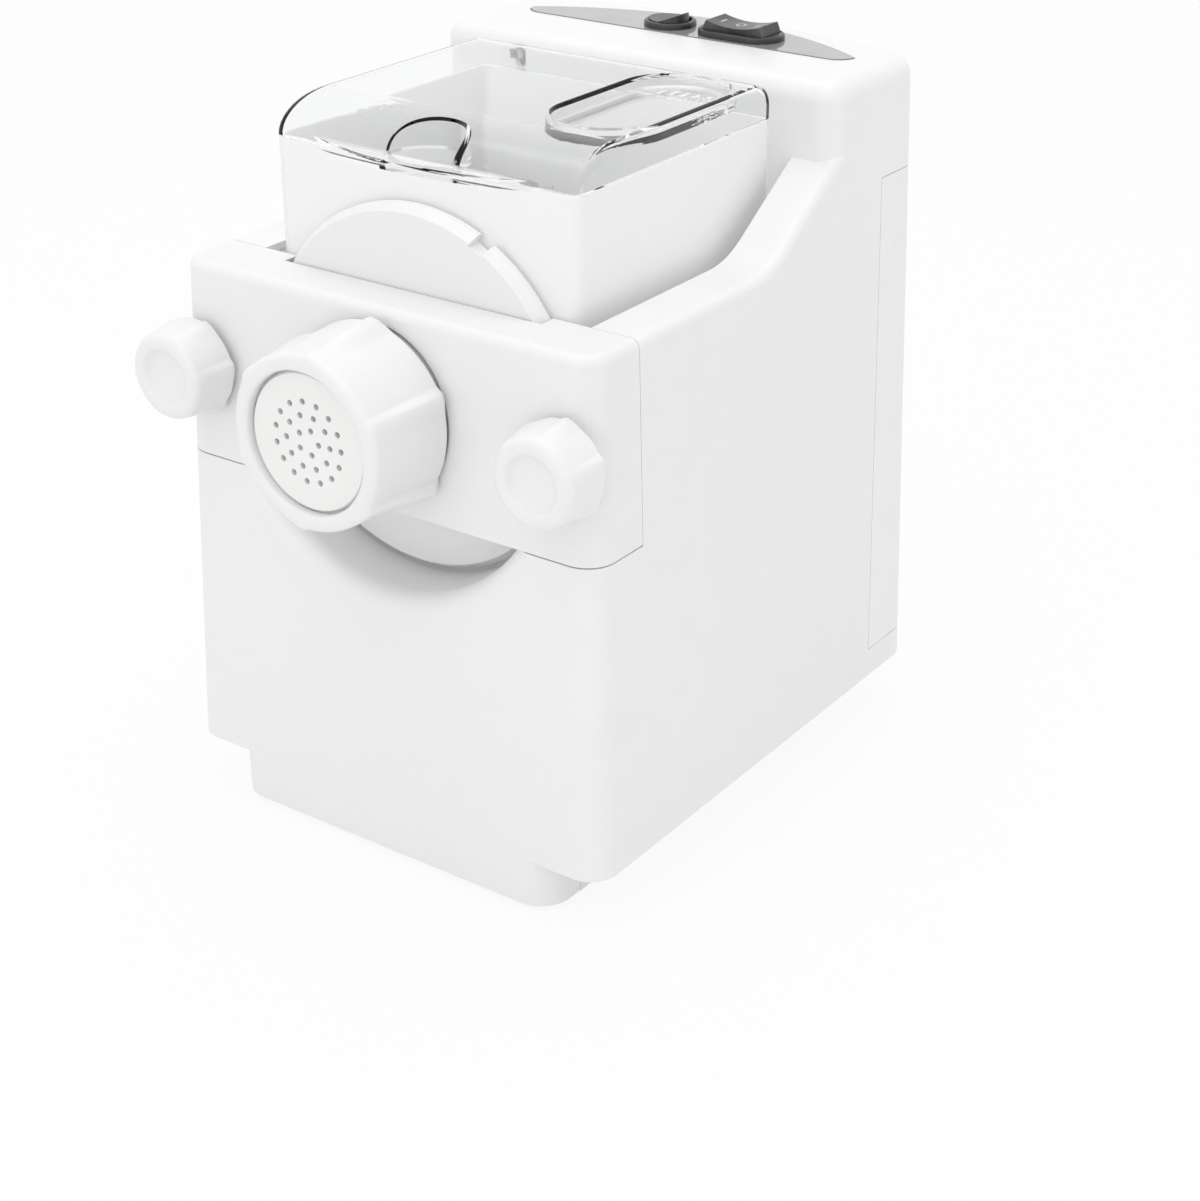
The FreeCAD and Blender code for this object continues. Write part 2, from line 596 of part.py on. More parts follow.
def ridged_body(r_back, r_front, y_back, y_front, ridge, count, angle, edge_r, x=0.0):
    """A tapered round body with rounded grip ridges along its side and a rounded front edge."""
    body = cone(r_front, r_back, y_front, y_back, x)
    body = body.makeFillet(edge_r, edges_where(body, lambda p: abs(p.y - y_front) < 0.01))
    ribs = []
    for i in range(count):
        t = math.radians(angle + 360.0 * i / count)
        start = r_front - 2.6 + ridge * 0.2
        end = r_back - 2.6 + ridge
        base = V(x + start * math.cos(t), y_front + edge_r * 0.6, AXIS_Z + start * math.sin(t))
        tip = V(x + end * math.cos(t), y_back, AXIS_Z + end * math.sin(t))
        axis = tip - base
        ribs.append(Part.makeCone(1.9, 2.6, axis.Length, base, axis))
    trim = rod(r_back + ridge + 3, y_front, y_back, x)
    return fuse([body] + [rib.common(trim) for rib in ribs])


def knob(side):
    """Grip knob with a dished face and a blind bore for its insert."""
    x = side * KNOB_X
    angle = 11.0 if side < 0 else 23.0
    body = ridged_body(KNOB_R_BACK, KNOB_R_FRONT, KNOB_BACK_Y, KNOB_FRONT_Y, 1.0, RIDGES, angle, 3.0, x)
    ball_r = 34.0
    depth = 2.2
    centre_y = KNOB_FRONT_Y + depth - ball_r
    ball = Part.makeSphere(ball_r, V(x, centre_y, AXIS_Z))
    body = body.cut(ball.common(rod(KNOB_DISH_R, KNOB_FRONT_Y - 5, KNOB_FRONT_Y + 5, x)))
    return body.cut(rod(6.5, KNOB_BACK_Y - 15.0, KNOB_BACK_Y + 1, x))


def knob_insert(side):
    """Brass insert moulded into the knob, running on the stud."""
    x = side * KNOB_X
    return ring(6.5, STUD_R + RUNNING_CLEARANCE, KNOB_BACK_Y - 14.8, KNOB_BACK_Y, x)


def knob_washer(side):
    """Thick washer between knob and panel, carried along by the knob."""
    return ring(13.5, STUD_R + 0.3, KNOB_BACK_Y + 0.2, front_y(AXIS_Z - 14) - 0.2, side * KNOB_X)


def front_disc():
    """Round front cover of the cup with the barrel that carries the die."""
    edge_y = DISC_FRONT_Y + DISC_EDGE_DEPTH
    disc = cone(DISC_R_FRONT, DISC_R_BACK, DISC_FRONT_Y, edge_y)
    disc = disc.fuse(rod(DISC_R_BACK, edge_y, DISC_BACK_Y))
    plug = rod(CUP_MOUTH_R - 0.6, DISC_BACK_Y - 0.5, CUP_FRONT_Y + CUP_WALL)
    barrel = rod(BARREL_R, BARREL_FRONT_Y, DISC_FRONT_Y + 1)
    web = cone(BARREL_R, BARREL_R + 8, 8.0, DISC_FRONT_Y + 0.5)
    body = fuse([disc, plug, barrel, web.common(rod(PANEL_HOLE_R - 0.5, -60, 60))])
    body = body.cut(rod(BARREL_BORE_R, -60, 60))
    threads = [ring(BARREL_R + 1, BARREL_R - 0.9, y, y + 1.4) for y in (-27.0 + 3.0 * i for i in range(8))]
    body = body.cut(group(threads))
    half = DISC_NOTCH_WIDTH / 2
    notch = box(-half, half, DISC_FRONT_Y - 1, DISC_BACK_Y + 1, DISC_R_FRONT - 1.2, DISC_R_BACK + 2)
    notch.rotate(V(0, 0, 0), V(0, 1, 0), 90 - DISC_NOTCH_ANGLE)
    notch.translate(V(0, 0, AXIS_Z))
    key_slots = []
    y0 = BARREL_FRONT_Y - 1
    y1 = BARREL_FRONT_Y + 2.6
    for side in (-1, 1):
        x = side * (BARREL_R - 2.5)
        key_slots.append(box(x - 3, x + 3, y0, y1, AXIS_Z - 2.5, AXIS_Z + 2.5))
    return body.cut(notch).cut(group(key_slots))


def disc_gasket():
    """Silicone ring between the disc and the cup's front wall."""
    return ring(CUP_MOUTH_R + 7, CUP_MOUTH_R - 0.2, DISC_BACK_Y, CUP_FRONT_Y)


def shaping_die():
    """Round die with rings of holes and two keys that seat in the barrel."""
    y0 = BARREL_FRONT_Y - DIE_THICK
    body = rod(DIE_R, y0, BARREL_FRONT_Y - 0.1)
    face = cone(NUT_MOUTH_R - 1.6, NUT_MOUTH_R - 0.4, y0 - 2.2, y0)
    body = fuse([body, face])
    body = body.cut(rod(18.5, BARREL_FRONT_Y - 3.5, BARREL_FRONT_Y + 1))
    holes = []
    for radius, count in ((5.0, 5), (10.5, 10), (15.8, 15)):
        for i in range(count):
            t = 2 * math.pi * i / count
            holes.append(rod(1.25, -60, 0, radius * math.cos(t), AXIS_Z + radius * math.sin(t)))
    body = body.cut(group(holes))
    keys = []
    key_y0 = BARREL_FRONT_Y - 1
    key_y1 = BARREL_FRONT_Y + 2.2
    for side in (-1, 1):
        x = side * (BARREL_R - 2.9)
        keys.append(box(x - 2.3, x + 2.3, key_y0, key_y1, AXIS_Z - 2.1, AXIS_Z + 2.1))
    return fuse([body] + keys)


def ring_nut():
    """Ridged ring nut that clamps the die on the barrel."""
    body = ridged_body(NUT_R_BACK, NUT_R_FRONT, NUT_BACK_Y, NUT_FRONT_Y, 4.6, RIDGES, NUT_RIDGE_ANGLE, 2.6)
    body = body.cut(rod(NUT_BORE_R, NUT_FRONT_Y + NUT_LIP, 10))
    body = body.cut(rod(NUT_MOUTH_R, NUT_FRONT_Y - 5, NUT_FRONT_Y + NUT_LIP + 1))
    lip = edges_where(body, lambda p: p.y < NUT_FRONT_Y + 0.1 and abs(
        math.hypot(p.x, p.z - AXIS_Z) - NUT_MOUTH_R) < 0.1)
    return body.makeFillet(1.5, lip)


def cup_block(inset, y0, y1, top):
    """The cup's form: half-round below, straight above, with rounded upright corners."""
    w = CUP_HALF_WIDTH - inset
    upper = box(-w, w, y0, y1, AXIS_Z, top)
    uprights = edges_where(upper, lambda p: True)
    uprights = [e for e in uprights if abs(e.Vertexes[0].Z - e.Vertexes[1].Z) > 1]
    upper = upper.makeFillet(max(CUP_CORNER_R - inset, 1.0), uprights)
    lower = rod(w, y0, y1)
    rims = edges_where(lower, lambda p: abs(p.y - y0) < 0.01 or abs(p.y - y1) < 0.01)
    lower = lower.makeFillet(max(CUP_CORNER_R - inset, 1.0), rims)
    return fuse([upper, lower.common(box(-100, 100, y0 - 1, y1 + 1, 0, AXIS_Z + 0.001))])


def mixing_cup():
    """Clear mixing cup, open above, with a round mouth in front and a shaft hole behind."""
    outer = cup_block(0.0, CUP_FRONT_Y, CUP_REAR_Y, CUP_TOP_Z)
    inner = cup_block(CUP_WALL, CUP_FRONT_Y + CUP_WALL, CUP_REAR_Y - CUP_WALL, CUP_TOP_Z + 10)
    cup = outer.cut(inner)
    cup = cup.cut(rod(CUP_MOUTH_R, CUP_FRONT_Y - 5, CUP_FRONT_Y + CUP_WALL + 3))
    return cup.cut(rod(13.0, CUP_REAR_Y - 10, CUP_REAR_Y + 5))


def cup_seal():
    """Shaft seal pressed in the cup's rear wall, round the paddle's hub."""
    body = ring(13.0, 10.0 + RUNNING_CLEARANCE, CUP_REAR_Y - CUP_WALL, CUP_REAR_Y)
    return fuse([body, ring(15.5, 10.0 + RUNNING_CLEARANCE, CUP_REAR_Y, CUP_REAR_Y + 1.6)])


def lid_profile(inset, drop):
    """The lid's side profile as a face: long curved nose, flat top and rounded rear edge."""
    y0 = LID_FRONT_Y + inset
    y1 = LID_REAR_Y - inset
    z0 = LID_BOTTOM_Z - drop
    z1 = LID_TOP_Z - inset
    rise = LID_TOP_Z - LID_BOTTOM_Z - inset
    run = LID_FRONT_RUN - inset
    centre = V(0, y0 + run, LID_BOTTOM_Z)
    ellipse = Part.Ellipse(centre + V(0, run, 0), centre + V(0, 0, rise), centre)
    nose = Part.ArcOfEllipse(ellipse, math.pi / 2, math.pi).toShape()
    ends = sorted((v.Point for v in nose.Vertexes), key=lambda p: p.y)
    r = LID_REAR_R - inset
    corner = V(0, y1 - r, z1 - r)
    tilt = math.pi / 4
    back = Part.Arc(V(0, y1 - r, z1), corner + V(0, r * math.sin(tilt), r * math.cos(tilt)), V(0, y1, z1 - r))
    low_front = V(0, y0, z0)
    low_rear = V(0, y1, z0)
    edges = [nose, Part.makeLine(ends[1], V(0, y1 - r, z1)), back.toShape()]
    edges += [Part.makeLine(V(0, y1, z1 - r), low_rear), Part.makeLine(low_rear, low_front)]
    if drop > 0.001:
        edges.append(Part.makeLine(low_front, ends[0]))
    return Part.Face(Part.Wire(Part.__sortEdges__(edges)))


def lid_block(inset, drop):
    """The lid's form across the cup's width, with rounded long top edges."""
    w = CUP_HALF_WIDTH - inset
    block = lid_profile(inset, drop).extrude(V(2 * w, 0, 0))
    block.translate(V(-w, 0, 0))
    tops = edges_where(block, lambda p: abs(abs(p.x) - w) < 0.01 and p.z > LID_BOTTOM_Z + 1.0 - drop)
    tops = [e for e in tops if e.Length > 5 and min(v.Z for v in e.Vertexes) > LID_BOTTOM_Z + 4.0]
    return block.makeFillet(max(LID_SIDE_R - inset, 1.0), tops)


def lid_key():
    """Key on the lid's rear edge that enters the interlock slot, with a tip round about the pivot."""
    x0 = LID_KEY_X - LID_KEY_WIDTH / 2
    x1 = LID_KEY_X + LID_KEY_WIDTH / 2
    bar = box(x0, x1, LID_REAR_Y - 2.0, PIVOT_Y + KEY_REACH + 2, PIVOT_Z, PIVOT_Z + LID_KEY_WIDTH)
    tip = Part.makeCylinder(KEY_REACH, 20, V(LID_KEY_X - 10, PIVOT_Y, PIVOT_Z), V(1, 0, 0))
    return bar.common(fuse([tip, box(-100, 100, LID_REAR_Y - 3, PIVOT_Y, 200, 320)]))


def finger_lip():
    """Crescent-shaped lip along the lid's front for lifting it."""
    z0 = LID_BOTTOM_Z - 1.0
    left = V(-60, LID_FRONT_Y + 2.5, z0)
    right = V(60, LID_FRONT_Y + 2.5, z0)
    front = Part.Arc(left, V(0, LID_FRONT_Y - 10.5, z0), right).toShape()
    back = Part.Arc(left, V(0, LID_FRONT_Y + 1.5, z0), right).toShape()
    lip = Part.Face(Part.Wire([front, back])).extrude(V(0, 0, 3.4))
    upper = edges_where(lip, lambda p: abs(p.z - z0 - 3.4) < 0.01 and (abs(p.x) > 55 or p.y < LID_FRONT_Y))
    lip = lip.makeFillet(1.2, upper)
    return lip.cut(box(-80, 80, CUP_FRONT_Y - 0.5, 60, 200, LID_BOTTOM_Z))


def cup_lid():
    """Clear lid with a finger lip, a thumb notch and a filling dish with drain slots."""
    shell = lid_block(0.0, 0.0).cut(lid_block(LID_WALL, 5.0))
    wall = 2.0
    notch_outer = post(NOTCH_R + wall, LID_BOTTOM_Z, LID_TOP_Z, 0, NOTCH_Y).common(lid_block(0.0, 0.0))
    floor_z = LID_TOP_Z - DISH_DEPTH
    dish_outer = stadium(DISH_X, DISH_Y, DISH_HALF_RUN, DISH_R + wall, floor_z - wall, LID_TOP_Z - 0.2)
    body = fuse([shell, notch_outer, dish_outer.common(lid_block(0.0, 0.0)), finger_lip(), lid_key()])
    body = body.cut(post(NOTCH_R, LID_BOTTOM_Z + 2.2, LID_TOP_Z + 5, 0, NOTCH_Y))
    body = body.cut(stadium(DISH_X, DISH_Y, DISH_HALF_RUN, DISH_R, floor_z, LID_TOP_Z + 5))
    slots = [stadium(DISH_X - 10 + 5.0 * i, DISH_Y + DISH_HALF_RUN + 7, 3.2, 1.0, LID_TOP_Z - 20, LID_TOP_Z)
             for i in range(5)]
    body = body.cut(group(slots))
    rim = edges_where(body, lambda p: abs(p.z - LID_TOP_Z) < 0.01 and 10 < p.x < 67.5 and 60 < p.y < 158)
    return body.makeFillet(0.8, rim) if rim else body


def hexagon(across_flats, y0, y1, x=0.0, z=AXIS_Z):
    """A hexagonal bar along y."""
    r = across_flats / math.sqrt(3)
    points = [V(x + r * math.cos(math.radians(60 * i + 30)), y0, z + r * math.sin(math.radians(60 * i + 30)))
              for i in range(7)]
    return Part.Face(Part.makePolygon(points)).extrude(V(0, y1 - y0, 0))


def output_shaft():
    """Output shaft with its gear seat and the hexagonal dog that drives the paddle."""
    return fuse([rod(SHAFT_R, 163.6, 210.0), hexagon(DOG_ACROSS_FLATS, 148.0, 164.0)])


def kneading_paddle():
    """Paddle frame: hub with a hexagonal socket, a core rod and two blades on arms."""
    hub = rod(10.0, 138.0, 163.2).cut(hexagon(DOG_ACROSS_FLATS + 0.5, 147.6, 170))
    core = rod(7.0, 62.0, 139.0)
    pieces = [hub, core]
    for side in (-1, 1):
        for y in (126.0, 70.0):
            arm = box(4.0, 62.0, y - 3.5, y + 3.5, AXIS_Z - 4, AXIS_Z + 4)
            if side < 0:
                arm = box(-62.0, -4.0, y - 3.5, y + 3.5, AXIS_Z - 4, AXIS_Z + 4)
            pieces.append(arm)
        x0, x1 = (55.0, 65.0) if side > 0 else (-65.0, -55.0)
        blade = box(x0, x1, 62.0, 134.0, AXIS_Z - 4, AXIS_Z + 4)
        blade = blade.makeFillet(2.0, blade.Edges)
        pieces.append(blade)
    body = fuse(pieces)
    return body.cut(rod(4.0, 55.0, 76.0))


def auger_screw():
    """Press screw that feeds dough through the barrel: a core with a helical flight."""
    core = cone(9.0, 11.0, -24.0, 61.8)
    pin = rod(3.95, 61.0, 75.5)
    flight_r = 21.2
    pitch = 26.0
    length = 78.0
    y0 = -20.0
    helix = Part.makeHelix(pitch, length, 10.0)
    corners = [V(7.0, 0, -1.8), V(flight_r, 0, -1.1), V(flight_r, 0, 1.1), V(7.0, 0, 1.8), V(7.0, 0, -1.8)]
    section = Part.makePolygon(corners)
    flight = Part.Wire(helix.Edges).makePipeShell([section], True, True)
    flight.rotate(V(0, 0, 0), V(1, 0, 0), -90)
    flight.translate(V(0, y0, AXIS_Z))
    return fuse([core, flight, pin])


def control_plate():
    """Glossy lens-shaped plate let into the tower's top."""
    plate = plate_outline(0.15, TOWER_TOP_Z - PLATE_THICK + 0.01, TOWER_TOP_Z + 0.35)
    plate = plate.cut(post(10.2, TOWER_TOP_Z - 9, TOWER_TOP_Z + 3, ROUND_X, SWITCH_Y))
    return plate.cut(stadium(OVAL_X, SWITCH_Y, OVAL_HALF_RUN, 10.2, TOWER_TOP_Z - 9, TOWER_TOP_Z + 3, "x"))


def solder_legs(x, z, offsets):
    """Flat contact legs below a switch body."""
    y0 = SWITCH_Y - LEG_WIDTH / 2
    y1 = SWITCH_Y + LEG_WIDTH / 2
    return [box(x + dx - 0.4, x + dx + 0.4, y0, y1, z - 32, z - 23) for dx in offsets]


def power_bezel():
    """Round switch body with a domed bezel and the well its rocker turns in."""
    z = TOWER_TOP_Z + 0.4
    bezel = post(ROUND_R, z, z + BEZEL_HEIGHT, ROUND_X, SWITCH_Y)
    bezel = bezel.makeFillet(1.1, edges_where(bezel, lambda p: p.z > z + 1))
    body = fuse([bezel, post(10.0, z - 24, z + 1, ROUND_X, SWITCH_Y)])
    body = body.cut(post(ROUND_CAP_R + 0.8, z - 12, z + 10, ROUND_X, SWITCH_Y))
    return fuse([body] + solder_legs(ROUND_X, z, (-4, 4)))


def mode_bezel():
    """Oval switch body with a domed bezel and an oblong well."""
    z = TOWER_TOP_Z + 0.4
    bezel = stadium(OVAL_X, SWITCH_Y, OVAL_HALF_RUN, OVAL_R, z, z + BEZEL_HEIGHT, "x")
    bezel = bezel.makeFillet(1.1, edges_where(bezel, lambda p: p.z > z + 1))
    body = fuse([bezel, stadium(OVAL_X, SWITCH_Y, OVAL_HALF_RUN, 10.0, z - 24, z + 1, "x")])
    hx = OVAL_CAP_LENGTH / 2 + 0.6
    hy = OVAL_CAP_WIDTH / 2 + 0.35
    body = body.cut(box(OVAL_X - hx, OVAL_X + hx, SWITCH_Y - hy, SWITCH_Y + hy, z - 12, z + 10))
    return fuse([body] + solder_legs(OVAL_X, z, (-8, 0, 8)))


def power_rocker():
    """Round rocker, cut by a sphere-like rim and a shallow V top, resting tilted to one side."""
    r = ROUND_CAP_R
    cap = post(r, ROCKER_PIVOT_Z - 5, CAP_TOP_Z + 3, 0, SWITCH_Y)
    wheel = Part.makeCylinder(r + 0.01, 40, V(0, SWITCH_Y - 20, ROCKER_PIVOT_Z), V(0, 1, 0))
    cap = cap.common(fuse([wheel, post(r, ROCKER_PIVOT_Z, CAP_TOP_Z + 3, 0, SWITCH_Y)]))
    for sign, x0 in ((-1, -60.0), (1, 0.0)):
        cutter = Part.makeBox(60, 60, 40, V(x0, SWITCH_Y - 30, 0))
        cutter.rotate(V(0, 0, 0), V(0, 1, 0), -sign * POWER_VEE)
        cutter.translate(V(0, 0, CAP_TOP_Z - 4.0))
        cap = cap.cut(cutter)
    cap.rotate(V(0, SWITCH_Y, ROCKER_PIVOT_Z), V(0, 1, 0), -POWER_TILT)
    cap.translate(V(ROUND_X, 0, 0))
    return cap


def mode_rocker():
    """Oblong three-position rocker with a hollowed top."""
    hx = OVAL_CAP_LENGTH / 2
    hy = OVAL_CAP_WIDTH / 2
    cap = box(-hx, hx, SWITCH_Y - hy, SWITCH_Y + hy, ROCKER_PIVOT_Z - 4, CAP_TOP_Z)
    wheel = Part.makeCylinder(hx, 40, V(0, SWITCH_Y - 20, ROCKER_PIVOT_Z), V(0, 1, 0))
    saddle_z = CAP_TOP_Z + SADDLE_R - SADDLE_DEPTH
    saddle = Part.makeCylinder(SADDLE_R, 60, V(0, SWITCH_Y - 30, saddle_z), V(0, 1, 0))
    cap = cap.common(wheel).cut(saddle)
    cap.translate(V(OVAL_X, 0, 0))
    return cap


def interlock_switch():
    """Small switch case behind the slot, with a hole for its plunger."""
    y0 = TOWER_FRONT_Y + WALL + 6.5
    case = box(SLOT_X - 5, SLOT_X + 5, y0, y0 + 12, SLOT_Z0 - 10, SLOT_Z1 - 0.5)
    bracket = box(SLOT_X - 5, SLOT_X + 5, TOWER_FRONT_Y + WALL, y0 + 0.5, SLOT_Z0 - 10, SLOT_Z0 - 6)
    return fuse([case, bracket]).cut(rod(2.1, y0 - 1, y0 + 8, SLOT_X, PIVOT_Z + 2.2))


def interlock_plunger():
    """Sprung plunger that the lid's key reaches."""
    y0 = PIVOT_Y + KEY_REACH + 0.3
    pin = rod(2.0, y0, y0 + 7.0, SLOT_X, PIVOT_Z + 2.2)
    return pin.makeFillet(0.6, edges_where(pin, lambda p: abs(p.y - y0) < 0.01))


def toothed_wheel(pitch_r, teeth, y0, y1, z, hub_r, bore_r, x=0.0):
    """A spur gear whose tooth tips end just inside its pitch circle."""
    tip = pitch_r - TOOTH_CLEARANCE
    root = tip - 0.045 * pitch_r - 0.9
    points = []
    for i in range(teeth):
        for part, radius in ((0.0, root), (0.22, root), (0.36, tip), (0.64, tip), (0.78, root)):
            t = 2 * math.pi * (i + part) / teeth
            points.append(V(x + radius * math.cos(t), y0, z + radius * math.sin(t)))
    points.append(points[0])
    wheel = Part.Face(Part.makePolygon(points)).extrude(V(0, y1 - y0, 0))
    if pitch_r > 25:
        recess = root - 5
        pocket = ring(recess, hub_r + 3, y0 - 1, y0 + 2.5, x, z)
        wheel = wheel.cut(pocket)
        reach = pitch_r * 0.56
        turns = [2 * math.pi * i / 5 for i in range(5)]
        holes = [rod(pitch_r * 0.14, y0 - 1, y1 + 1, x + reach * math.cos(a), z + reach * math.sin(a)) for a in turns]
        wheel = wheel.cut(group(holes))
    return wheel.cut(rod(bore_r, y0 - 1, y1 + 1, x, z))


def output_gear():
    """Large wheel on the output shaft."""
    return toothed_wheel(OUTPUT_GEAR_R, OUTPUT_GEAR_TEETH, *STAGE2_Y, AXIS_Z, 12.0, SHAFT_R)


def idler_gear():
    """Large wheel of the middle shaft."""
    return toothed_wheel(IDLER_GEAR_R, IDLER_GEAR_TEETH, *STAGE1_Y, IDLER_Z, 9.0, 5.0)


def idler_shaft():
    """Middle shaft with the pinion that drives the output gear."""
    y0, y1 = STAGE2_Y
    pinion = toothed_wheel(IDLER_PINION_R, IDLER_PINION_TEETH, y0 - 1, y1 + 1, IDLER_Z, 7.0, 4.0)
    return fuse([rod(5.0, CASE_Y0 + 1.0, CASE_Y1 - 1.0, 0, IDLER_Z), pinion])


def motor_rotor():
    """Motor shaft with its pinion."""
    pinion = toothed_wheel(PINION_R, PINION_TEETH, STAGE1_Y[0] - 1, STAGE1_Y[1] + 1, MOTOR_Z, 5.0, 3.0)
    return fuse([rod(4.0, MOTOR_Y0 - 16, STAGE1_Y[1] + 4, 0, MOTOR_Z), pinion])


def motor_fan():
    """Cooling fan on the front end of the motor shaft."""
    y0 = MOTOR_Y0 - 14
    pieces = [rod(8.0, y0, y0 + 9, 0, MOTOR_Z)]
    for i in range(9):
        blade = box(6.0, 25.0, y0 + 1, y0 + 8, -0.8, 0.8)
        blade.rotate(V(0, 0, 0), V(0, 1, 0), 40.0 * i)
        blade.translate(V(0, 0, MOTOR_Z))
        pieces.append(blade)
    return fuse(pieces).cut(rod(4.0, y0 - 1, y0 + 12, 0, MOTOR_Z))


def motor_can():
    """Motor case with air slots and a nose that seats on the gear case."""
    can = rod(MOTOR_R, MOTOR_Y0, MOTOR_Y1, 0, MOTOR_Z)
    can = can.makeFillet(2.5, edges_where(can, lambda p: abs(p.y - MOTOR_Y0) < 0.01))
    can = fuse([can, rod(MOTOR_R - 1.0, MOTOR_Y1 - 1, CASE_Y0, 0, MOTOR_Z)])
    slots = []
    for i in range(12):
        slot = box(MOTOR_R - 3, MOTOR_R + 3, MOTOR_Y0 + 16, MOTOR_Y0 + 40, -2, 2)
        slot.rotate(V(0, 0, 0), V(0, 1, 0), 30.0 * i)
        slot.translate(V(0, 0, MOTOR_Z))
        slots.append(slot)
    return can.cut(group(slots)).cut(rod(4.0 + 0.4, MOTOR_Y0 - 5, CASE_Y0 + 1, 0, MOTOR_Z))


def motor_saddle():
    """Bracket on the base tray that carries the motor."""
    y0 = MOTOR_Y0 + 50
    block = box(-32, 32, y0, y0 + 22, 4.0, MOTOR_Z - 8)
    block = block.cut(rod(MOTOR_R, y0 - 1, y0 + 30, 0, MOTOR_Z))
    return block.cut(box(-20, 20, y0 - 1, y0 + 30, 12.0, 46.0))


def case_screw_places():
    """Where the six screws of the gear case stand."""
    return [(x, z) for x in (-47.0, 47.0) for z in (82.0, 162.0, 226.0)]


def case_screw_bores(y1):
    """Bores of the gear case's screws, ending at y1."""
    return group([rod(CASE_SCREW_R + 0.05, CASE_Y1 - 16, y1, x, z) for x, z in case_screw_places()])


def gear_case():
    """Front half of the gear case: back plate toward the motor and its rim."""
    block = box(-CASE_HALF_WIDTH, CASE_HALF_WIDTH, CASE_Y0, CASE_Y1 - CASE_WALL, CASE_Z0, CASE_Z1)
    uprights = [e for e in block.Edges if abs(e.Vertexes[0].Y - e.Vertexes[1].Y) > 1]
    block = block.makeFillet(24.0, uprights)
    room = box(-CASE_HALF_WIDTH + CASE_WALL, CASE_HALF_WIDTH - CASE_WALL, CASE_Y0 + CASE_WALL, CASE_Y1,
               CASE_Z0 + CASE_WALL, CASE_Z1 - CASE_WALL)
    uprights = [e for e in room.Edges if abs(e.Vertexes[0].Y - e.Vertexes[1].Y) > 1]
    block = block.cut(room.makeFillet(21.0, uprights))
    block = fuse([block] + [rod(4.5, CASE_Y0 + 1, CASE_Y1 - CASE_WALL, x, z) for x, z in case_screw_places()])
    block = block.cut(case_screw_bores(CASE_Y1))
    block = block.cut(rod(12.0, CASE_Y0 - 1, CASE_Y0 + 5))
    return block.cut(rod(5.0 + RUNNING_CLEARANCE, CASE_Y0 + 0.8, CASE_Y0 + 5, 0, IDLER_Z)).cut(
        rod(4.0 + 0.4, CASE_Y0 - 1, CASE_Y0 + 5, 0, MOTOR_Z))


def gear_cover():
    """Rear half of the gear case with the shaft seats."""
    block = box(-CASE_HALF_WIDTH, CASE_HALF_WIDTH, CASE_Y1 - CASE_WALL, CASE_Y1, CASE_Z0, CASE_Z1)
    uprights = [e for e in block.Edges if abs(e.Vertexes[0].Y - e.Vertexes[1].Y) > 1]
    block = block.makeFillet(24.0, uprights)
    pads = [rod(16.0, CASE_Y1 - 0.5, CASE_Y1 + 5.0), rod(10.0, CASE_Y1 - 0.5, CASE_Y1 + 2.0, 0, IDLER_Z)]
    block = fuse([block] + pads)
    block = block.cut(case_screw_bores(CASE_Y1 + 1))
    return block.cut(rod(12.0, CASE_Y1 - 10, CASE_Y1 + 3.5)).cut(
        rod(5.0 + RUNNING_CLEARANCE, CASE_Y1 - 10, CASE_Y1 - 0.8, 0, IDLER_Z))


def shaft_bushes():
    """Two bronze bushes of the output shaft."""
    return group([ring(12.0, SHAFT_R + RUNNING_CLEARANCE, CASE_Y0, CASE_Y0 + 6.0),
                  ring(12.0, SHAFT_R + RUNNING_CLEARANCE, CASE_Y1 - 3.0, CASE_Y1 + 3.4)])


def shaft_seal():
    """Rubber seal of the output shaft in the bulkhead."""
    return ring(14.0, SHAFT_R + RUNNING_CLEARANCE, TOWER_FRONT_Y + 0.2, TOWER_FRONT_Y + WALL + 2.0)


def gear_case_screws():
    """Six screws that close the gear case."""
    places = [(x, CASE_Y1, z) for x, z in case_screw_places()]
    return group([pan_screw(CASE_SCREW_R, 14.0, 3.6, 2.2, place, (0, -1, 0)) for place in places])


def case_bracket():
    """Two feet that carry the gear case on the base tray."""
    feet = []
    for side in (-1, 1):
        x0, x1 = (24.0, 42.0) if side > 0 else (-42.0, -24.0)
        feet.append(box(x0, x1, CASE_Y0 + 2, CASE_Y1 - 8, 4.0, CASE_Z0))
    return group(feet)


def control_board():
    """Timer board standing behind the gear case."""
    return box(-50, 50, 222.0, 223.6, 92, 166)


def board_parts():
    """Parts on the timer board: relays, a film capacitor, a transformer and a heat sink."""
    y1 = 222.0
    relays = [box(-44 + 22 * i, -26 + 22 * i, y1 - 12, y1, 140, 156) for i in range(2)]
    capacitor = box(8, 34, y1 - 10, y1, 144, 158)
    transformer = box(-40, -10, y1 - 9, y1, 100, 126)
    fins = [box(8 + 5 * i, 10 + 5 * i, y1 - 9, y1, 100, 128) for i in range(7)]
    return group(relays + [capacitor, transformer] + fins)


def board_standoffs():
    """Four pillars between gear case and timer board."""
    return group([rod(3.0, CASE_Y1, 222.0, x, z) for x in (-46.5, 46.5) for z in (96.0, 134.0)])


